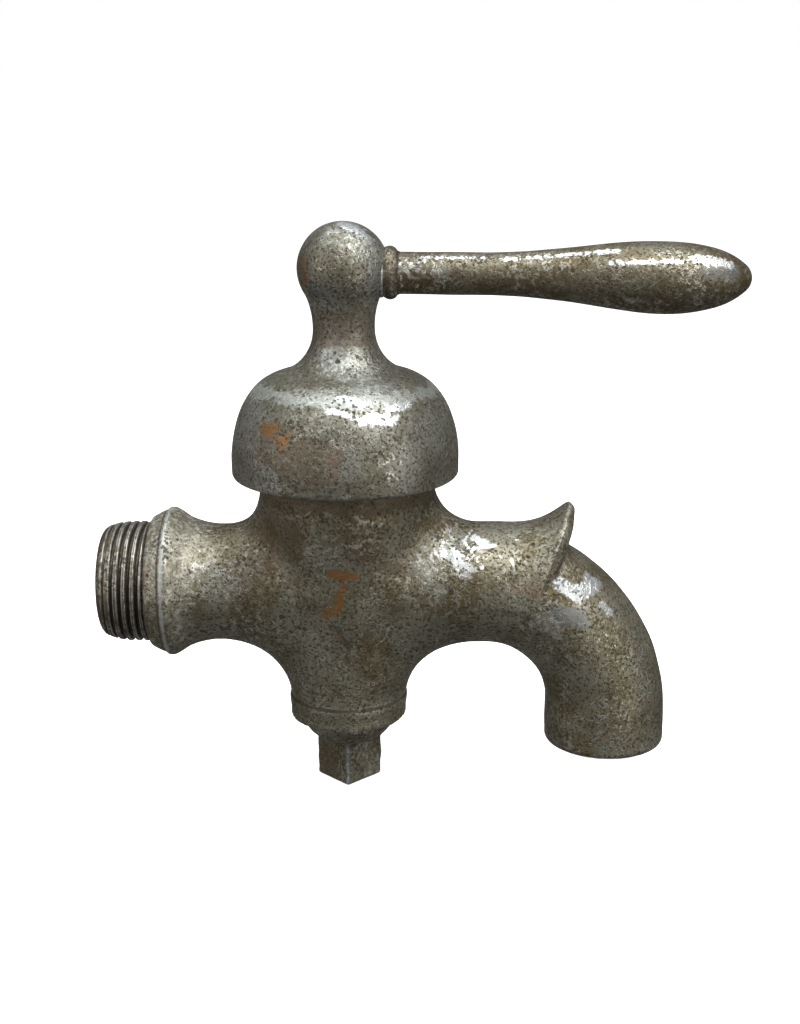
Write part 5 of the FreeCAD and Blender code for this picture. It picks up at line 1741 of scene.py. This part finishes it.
@dataclass(frozen=True)
class Studio:
    """Pale floor, soft lamps and an even surrounding."""

    floor_side: float = 60.0
    floor_tone: tuple[float, float, float] = (0.8, 0.8, 0.8)
    floor_glow: float = 0.9
    sky_light: float = 0.19
    sky_seen: float = 1.0
    lamps: tuple[Lamp, ...] = (
        Lamp("key_lamp", (0.34, -0.30, 0.60), 0.30, 4.6, (1.0, 0.99, 0.95)),
        Lamp("top_lamp", (-0.04, -0.02, 0.80), 0.90, 6.4, (0.95, 0.99, 1.0)),
        Lamp("left_lamp", (-0.55, -0.45, 0.25), 0.40, 1.9, (1.0, 0.94, 0.86)),
        Lamp("right_lamp", (0.60, -0.55, 0.05), 0.45, 1.7, (1.0, 0.97, 0.90)),
    )

    def build(self) -> None:
        """Lay the floor, light it and set the surroundings."""
        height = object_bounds()[0][2]
        mesh = bpy.data.meshes.new("floor")
        half = self.floor_side / 2
        mesh.from_pydata([(-half, -half, height), (half, -half, height), (half, half, height),
                          (-half, half, height)], [], [(0, 1, 2, 3)])
        floor = bpy.data.objects.new("floor", mesh)
        bpy.context.scene.collection.objects.link(floor)
        material = bpy.data.materials.new("pale_floor")
        material.use_nodes = True
        wiring = Wiring(material.node_tree)
        shader = material.node_tree.nodes["Principled BSDF"]
        shader.inputs["Base Color"].default_value = (*self.floor_tone, 1)
        where = wiring.add("ShaderNodeTexCoord").outputs["Object"]
        wiring.feed(shader.inputs["Roughness"],
                    wiring.ramp(wiring.noise(where, 40.0), 0.3, 0.7, 0.82, 0.92))
        shader.inputs["Emission Color"].default_value = (1, 1, 1, 1)
        shader.inputs["Emission Strength"].default_value = self.floor_glow
        mesh.materials.append(material)
        floor.visible_diffuse = floor.visible_glossy = False
        floor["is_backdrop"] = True
        target = Vector((AXIS_X * MM, 0.0, 0.01))
        for lamp in self.lamps:
            lamp.build(target)
        self.surround()

    def surround(self) -> None:
        """Make the surroundings pale to look at and dimmer as a light."""
        world = bpy.data.worlds.new("surroundings")
        bpy.context.scene.world = world
        world.use_nodes = True
        wiring = Wiring(world.node_tree)
        world.node_tree.nodes.clear()
        seen = wiring.add("ShaderNodeLightPath").outputs["Is Camera Ray"]
        strength = wiring.level(seen, self.sky_light, self.sky_seen)
        glow = wiring.add("ShaderNodeBackground", {"Color": (1, 1, 1, 1), "Strength": strength})
        wiring.add("ShaderNodeOutputWorld", {"Surface": glow.outputs[0]})


# ---------------------------------------------------------------- the whole faucet

BODY_PATCHES = (
    # painted shade under the bell on the barrel's upper left and the inlet's root, in brown
    Patch(Mark.BROWN, (36.0, -6.0, 19.0), (39.0, -14.0, 13.0), 7.5, 0.5, 0.55, 240.0),
    Patch(Mark.BROWN, (31.0, -10.0, 8.0), (34.0, -12.0, 5.0), 4.0, 0.6, 0.35, 300.0),
    Patch(Mark.LIME, (15.5, 0.0, 14.5), (16.0, -13.0, 6.5), 8.5, 0.75, 0.62, 900.0),
    Patch(Mark.LIME, (16.0, -14.0, -4.0), (17.0, -13.0, -7.0), 4.5, 0.8, 0.35, 900.0),
    Patch(Mark.LIME, (16.0, 14.0, 3.0), (17.0, 8.0, 12.0), 7.0, 0.8, 0.45, 900.0),
    Patch(Mark.COPPER, (11.5, -13.6, 6.0), (11.5, -13.3, -2.0), 0.9, 0.4, 0.6),
    Patch(Mark.BRASS, (51.2, -16.6, 7.2), (55.6, -16.6, 6.4), 1.2, 0.85, 0.9, 1100.0),
    Patch(Mark.BRASS, (53.6, -16.2, 4.4), (52.4, -16.0, 0.6), 1.0, 1.1, 0.9, 1100.0),
    Patch(Mark.BRASS, (49.3, -15.2, -2.4), (52.6, -15.7, -0.1), 1.2, 1.0, 0.9, 1100.0),
    Patch(Mark.DARK, (51.9, -15.2, -5.8), (54.3, -14.8, -9.6), 1.1, 0.9, 0.8, 520.0),
    Patch(Mark.BRASS, (51.0, -15.2, -6.0), (53.0, -14.8, -8.6), 0.7, 1.1, 0.6, 520.0),
    Patch(Mark.BROWN, (61.0, -14.5, 8.5), (68.0, -13.0, 6.0), 1.6, 0.8, 0.6, 700.0),
    # worn bright strokes that also paint the highlight on the upper front of the spout's bend
    Patch(Mark.BRIGHT_WEAR_AND_HIGHLIGHT, (79.0, -7.1, 11.2), (82.8, -11.3, 6.7), 0.5, 0.8, 0.95, 1600.0),
    Patch(Mark.BRIGHT_WEAR_AND_HIGHLIGHT, (80.8, -3.8, 12.7), (79.0, -7.0, 11.2), 0.4, 0.8, 0.9, 1600.0),
    Patch(Mark.BRIGHT_WEAR_AND_HIGHLIGHT, (80.9, -8.5, 10.1), (85.6, -7.9, 10.6), 0.5, 0.85, 0.9, 1600.0),
    Patch(Mark.BRIGHT_WEAR_AND_HIGHLIGHT, (81.2, -6.3, 11.6), (83.5, -7.3, 11.0), 1.0, 1.0, 0.9, 1600.0),
    Patch(Mark.BRIGHT_WEAR_AND_HIGHLIGHT, (90.0, -6.6, 11.6), (93.4, -6.4, 12.4), 0.4, 0.7, 0.8, 900.0),
    Patch(Mark.BRIGHT_WEAR_AND_HIGHLIGHT, (89.0, -10.4, 8.2), (89.6, -11.0, 6.6), 0.4, 0.6, 0.7, 900.0),
    Patch(Mark.BRIGHT_WEAR_AND_HIGHLIGHT, (76.0, -9.5, 9.2), (79.5, -11.5, 6.2), 2.0, 1.0, 0.6, 800.0),
    Patch(Mark.FROST, (70.0, -11.5, 7.0), (77.0, -6.5, 11.4), 3.2, 0.9, 0.45, 700.0),
    # worn bright strokes that also paint the highlight on the front of the outer bend
    Patch(Mark.BRIGHT_WEAR_AND_HIGHLIGHT, (99.2, -10.9, 3.2), (103.4, -11.0, 0.4), 1.7, 0.5, 0.95, 700.0),
    Patch(Mark.BRIGHT_WEAR_AND_HIGHLIGHT, (103.4, -10.6, 0.8), (107.6, -7.4, 2.2), 2.1, 0.55, 0.95, 700.0),
    Patch(Mark.BRIGHT_WEAR_AND_HIGHLIGHT, (105.6, -7.2, 4.0), (106.2, -6.4, 5.0), 1.1, 0.6, 0.9, 700.0),
    Patch(Mark.BRIGHT_WEAR_AND_HIGHLIGHT, (108.6, -9.4, -2.2), (110.4, -8.8, -4.4), 1.0, 0.9, 0.7, 800.0),
    Patch(Mark.SLATE, (98.6, -13.0, -2.6), (104.0, -12.6, -4.6), 2.2, 0.5, 0.6, 400.0),
    Patch(Mark.FROST, (94.5, -13.2, -4.6), (98.6, -13.0, -6.6), 2.4, 0.45, 0.55, 500.0),
    Patch(Mark.COPPER, (91.0, -12.8, 2.6), (94.0, -12.7, 2.0), 1.7, 0.7, 0.5, 500.0),
    Patch(Mark.FROST, (70.6, -14.0, 3.4), (74.0, -13.0, 1.8), 2.0, 0.6, 0.4, 600.0),
    Patch(Mark.DARK, (76.2, -13.1, 2.0), (76.2, -13.1, 1.6), 0.62, 0.2, 0.95, 800.0),
    Patch(Mark.DARK, (79.4, -13.0, -1.6), (79.9, -13.0, -1.2), 0.5, 0.2, 0.9, 800.0),
    Patch(Mark.DARK, (50.8, -12.9, -20.6), (53.4, -12.7, -22.2), 0.4, 0.7, 0.85, 900.0),
    Patch(Mark.DARK, (59.6, -11.0, -21.4), (63.6, -8.8, -18.4), 0.22, 0.3, 0.8, 900.0),
    Patch(Mark.DARK, (59.0, -11.5, -19.6), (62.0, -10.0, -17.8), 0.18, 0.3, 0.75, 900.0),
    Patch(Mark.FROST, (24.0, -11.9, 6.0), (30.0, -12.0, 2.0), 3.4, 0.9, 0.3, 700.0),
    Patch(Mark.BRASS, (109.5, -12.0, -31.0), (111.5, -11.6, -29.0), 1.3, 0.9, 0.45, 700.0),
    # painted highlight widening the lit bevel band round the lip's rim
    Patch(Mark.BRIGHT_WEAR_AND_HIGHLIGHT, (103.3, -5.0, 17.8), (102.5, -8.7, 14.3), 1.6, 0.3, 1.0, 900.0),
    Patch(Mark.BRIGHT_WEAR_AND_HIGHLIGHT, (102.5, -8.7, 14.3), (100.8, -11.3, 9.7), 1.7, 0.3, 1.0, 900.0),
    # painted shade in the corner of the collar's step, and a frosted ring on its bead that also
    # paints its highlight
    Ring(Mark.DARK, (14.1, 0.0, 0.0), (1.0, 0.0, 0.0), 15.9, 0.32, 0.4, 0.8),
    Ring(Mark.FROST, (15.0, 0.0, 0.0), (1.0, 0.0, 0.0), 16.4, 0.5, 0.7, 0.7),
    # painted shade in the creases below and above the stem's foot bead
    Ring(Mark.DARK, (53.5, 0.0, -30.4), (0.0, 0.0, 1.0), 10.6, 0.8, 0.35, 0.9),
    Ring(Mark.DARK, (53.5, 0.0, -25.6), (0.0, 0.0, 1.0), 12.9, 0.5, 0.3, 0.9),
    # painted shade round the barrel's top under the bell's rim, in brown
    Ring(Mark.BROWN, (53.5, 0.0, 22.6), (0.0, 0.0, 1.0), 19.0, 3.4, 0.5, 0.75, 250.0),
    Patch(Mark.DARK, (72.2, -3.5, 19.5), (72.6, -1.0, 18.6), 0.6, 0.3, 0.9, 700.0),
)
BELL_PATCHES = (
    Patch(Mark.BROWN, (40.0, -19.8, 35.5), (48.0, -23.6, 33.0), 6.2, 0.55, 0.6, 220.0),
    Patch(Mark.BRASS, (37.8, -17.2, 38.6), (41.4, -19.8, 36.6), 1.7, 1.3, 0.8, 600.0),
    Patch(Mark.COPPER, (52.0, -24.2, 34.5), (52.4, -24.4, 29.5), 1.1, 0.8, 0.45, 300.0),
    # worn bright strokes that also paint the highlights on the bell's shoulder
    Patch(Mark.BRIGHT_WEAR_AND_HIGHLIGHT, (53.4, -18.4, 44.8), (58.7, -19.0, 43.8), 1.15, 0.85, 0.9, 800.0),
    Patch(Mark.BRIGHT_WEAR_AND_HIGHLIGHT, (51.0, -20.2, 42.6), (57.0, -21.2, 41.4), 0.8, 0.9, 0.8, 800.0),
    Patch(Mark.BRIGHT_WEAR_AND_HIGHLIGHT, (58.6, -21.2, 40.8), (64.8, -19.0, 40.8), 1.5, 0.85, 0.9, 800.0),
    Patch(Mark.BRIGHT_WEAR_AND_HIGHLIGHT, (63.4, -18.0, 42.6), (67.9, -14.6, 43.2), 1.2, 0.9, 0.85, 800.0),
    Patch(Mark.BRIGHT_WEAR_AND_HIGHLIGHT, (34.6, -9.0, 43.2), (37.6, -13.2, 43.0), 0.9, 0.9, 0.8, 800.0),
    Patch(Mark.FROST, (51.5, -7.4, 51.4), (59.5, -14.0, 46.6), 4.2, 0.9, 0.6, 800.0),
    Patch(Mark.FROST, (44.0, -16.5, 44.0), (56.0, -17.5, 45.5), 2.6, 1.0, 0.35, 800.0),
    # worn bright stroke that also paints the highlight on the ball's top
    Patch(Mark.BRIGHT_WEAR_AND_HIGHLIGHT, (54.0, -2.6, 78.0), (58.6, -4.6, 75.6), 1.8, 0.95, 0.7, 800.0),
    Patch(Mark.FROST, (52.0, -5.6, 76.6), (59.5, -7.0, 72.0), 3.2, 0.95, 0.35, 700.0),
    Patch(Mark.BRASS, (45.6, -5.4, 70.2), (46.2, -6.4, 66.4), 0.8, 0.8, 0.8, 800.0),
    Patch(Mark.BROWN, (44.5, -3.5, 70.0), (45.5, -5.0, 63.0), 2.6, 0.6, 0.5, 400.0),
    Ring(Mark.BROWN, (53.5, 0.0, 56.5), (0.0, 0.0, 1.0), 7.0, 5.0, 0.5, 0.6, 300.0),
    # frosted ring that also paints the sky's reflection round the bell's shoulder
    Ring(Mark.FROST, (53.5, 0.0, 43.6), (0.0, 0.0, 1.0), 18.6, 1.8, 0.9, 0.45, 500.0),
)
LEVER_PATCHES = (
    # worn bright strokes that also paint the highlight along the lever's top
    Patch(Mark.BRIGHT_WEAR_AND_HIGHLIGHT, (70.0, -2.9, 71.2), (84.0, -2.9, 71.3), 0.55, 1.0, 0.8, 900.0),
    Patch(Mark.BRIGHT_WEAR_AND_HIGHLIGHT, (86.0, -3.2, 71.0), (110.0, -3.9, 72.4), 0.7, 1.1, 0.75, 900.0),
    Patch(Mark.BRIGHT_WEAR_AND_HIGHLIGHT, (106.0, -6.3, 70.2), (124.0, -6.6, 70.6), 0.6, 1.0, 0.7, 900.0),
    Patch(Mark.BRIGHT_WEAR_AND_HIGHLIGHT, (126.0, -5.6, 71.2), (133.5, -4.6, 69.6), 1.3, 0.9, 0.75, 900.0),
    Patch(Mark.SLATE, (128.0, -6.6, 68.0), (134.0, -5.0, 68.0), 1.8, 0.7, 0.4, 500.0),
    Patch(Mark.FROST, (66.0, -4.0, 69.5), (74.0, -4.2, 68.6), 1.6, 1.0, 0.4, 800.0),
    Patch(Mark.FROST, (112.0, -5.6, 62.6), (121.0, -5.4, 62.4), 1.0, 1.0, 0.5, 900.0),
    Patch(Mark.BROWN, (88.0, -4.4, 66.0), (104.0, -4.9, 65.0), 2.6, 0.7, 0.4, 300.0),
)
PLUG_PATCHES = (
    # painted shade in the crease between the stem and the plug's flange
    Ring(Mark.DARK, (53.5, 0.0, -31.2), (0.0, 0.0, 1.0), 10.2, 0.6, 0.35, 0.9),
    Patch(Mark.SLATE, (53.5, -7.0, -36.0), (53.5, -7.0, -45.5), 0.75, 0.5, 0.6, 600.0),
    Patch(Mark.BROWN, (48.5, -3.0, -36.0), (50.0, -4.0, -44.0), 2.6, 0.6, 0.6, 400.0),
    Patch(Mark.LIME, (56.8, -4.0, -37.0), (58.4, -2.4, -43.5), 2.8, 0.7, 0.55, 600.0),
    Patch(Mark.LIME, (47.0, -8.0, -32.6), (60.0, -8.0, -32.8), 0.8, 1.0, 0.4, 700.0),
)


def finishes() -> dict[str, object]:
    """Name the finish of every piece and part.

    Returns:
        The finishes, by name.
    """
    return {
        "casting": AgedNickel("casting_nickel", BODY_PATCHES, browning=0.5),
        "thread": AgedNickel("thread_metal", (), (0.20, 0.18, 0.135), (0.10, 0.08, 0.05),
                             wear=0.45),
        "bell": AgedNickel("bell_nickel", BELL_PATCHES, (0.25, 0.252, 0.225),
                           (0.150, 0.142, 0.108), browning=0.3, pitting=0.38),
        "lever": AgedNickel("lever_nickel", LEVER_PATCHES, (0.165, 0.152, 0.112),
                            (0.10, 0.080, 0.044), browning=0.7, pitting=0.38),
        "plug": AgedNickel("plug_nickel", PLUG_PATCHES, browning=0.6),
        "bare_brass": InnerFinish("turned_brass", (0.72, 0.53, 0.24), (0.42, 0.28, 0.11)),
        "bronze_pin": InnerFinish("drawn_bronze", (0.56, 0.36, 0.18), (0.28, 0.17, 0.08)),
        "spring_bronze": InnerFinish("spring_wire", (0.60, 0.40, 0.20), (0.30, 0.19, 0.09)),
        "fibre": InnerFinish("pressed_fibre", (0.34, 0.22, 0.11), (0.18, 0.11, 0.06), 0.0, 0.75,
                             0.9, 700.0),
        "packing": InnerFinish("waxed_packing", (0.30, 0.27, 0.21), (0.13, 0.12, 0.09), 0.0, 0.6,
                               0.85, 900.0),
        "rubber": InnerFinish("washer_rubber", (0.055, 0.052, 0.05), (0.025, 0.024, 0.023), 0.0,
                              0.55, 0.75, 500.0),
    }


def dress_parts(materials: dict[str, bpy.types.Material], replaced: set[str]) -> None:
    """Give every part that is not replaced the finish of its slot.

    Args:
        materials: materials by name.
        replaced: parts that a piece stands for.
    """
    for row in frame["record"]["subparts"]:
        node = row["node"]
        if node in replaced:
            continue
        piece = NODES[node]
        for slot in piece.material_slots:
            slot.material = materials[row["material_slot"]]
        log.info("%s: dressed in %s", node, row["material_slot"])


def main() -> None:
    """Build the faucet's looks round the frame."""
    logging.basicConfig(level=logging.INFO, format="%(name)s: %(message)s")
    effects = Effects()
    materials = {name: finish.material(effects) for name, finish in finishes().items()}
    CameraStand().build()
    Studio().build()
    place(FaucetBody().build(), "body", "plated_brass", materials["casting"], "faucet_body")
    place(InletThread().build(materials["thread"]), "body", "plated_brass", materials["thread"])
    place(ReturnSpring().build(materials["spring_bronze"]), "body", "spring_bronze",
          materials["spring_bronze"], "return_spring")
    bell = HandleBell()
    place(bell.build(), "handle", "plated_brass", materials["bell"], "handle_bell")
    place(bell.boss(), "handle", "plated_brass", materials["bell"])
    place(Lever().build(), "handle", "plated_brass", materials["lever"], "lever_handle")
    place(BottomPlug().build(), "body", "plated_brass", materials["plug"], "bottom_plug")
    dress_parts(materials, {"faucet_body", "return_spring", "handle_bell", "lever_handle",
                            "bottom_plug"})
    bpy.context.scene.view_settings.view_transform = "Standard"


if __name__ == "__main__":
    main()
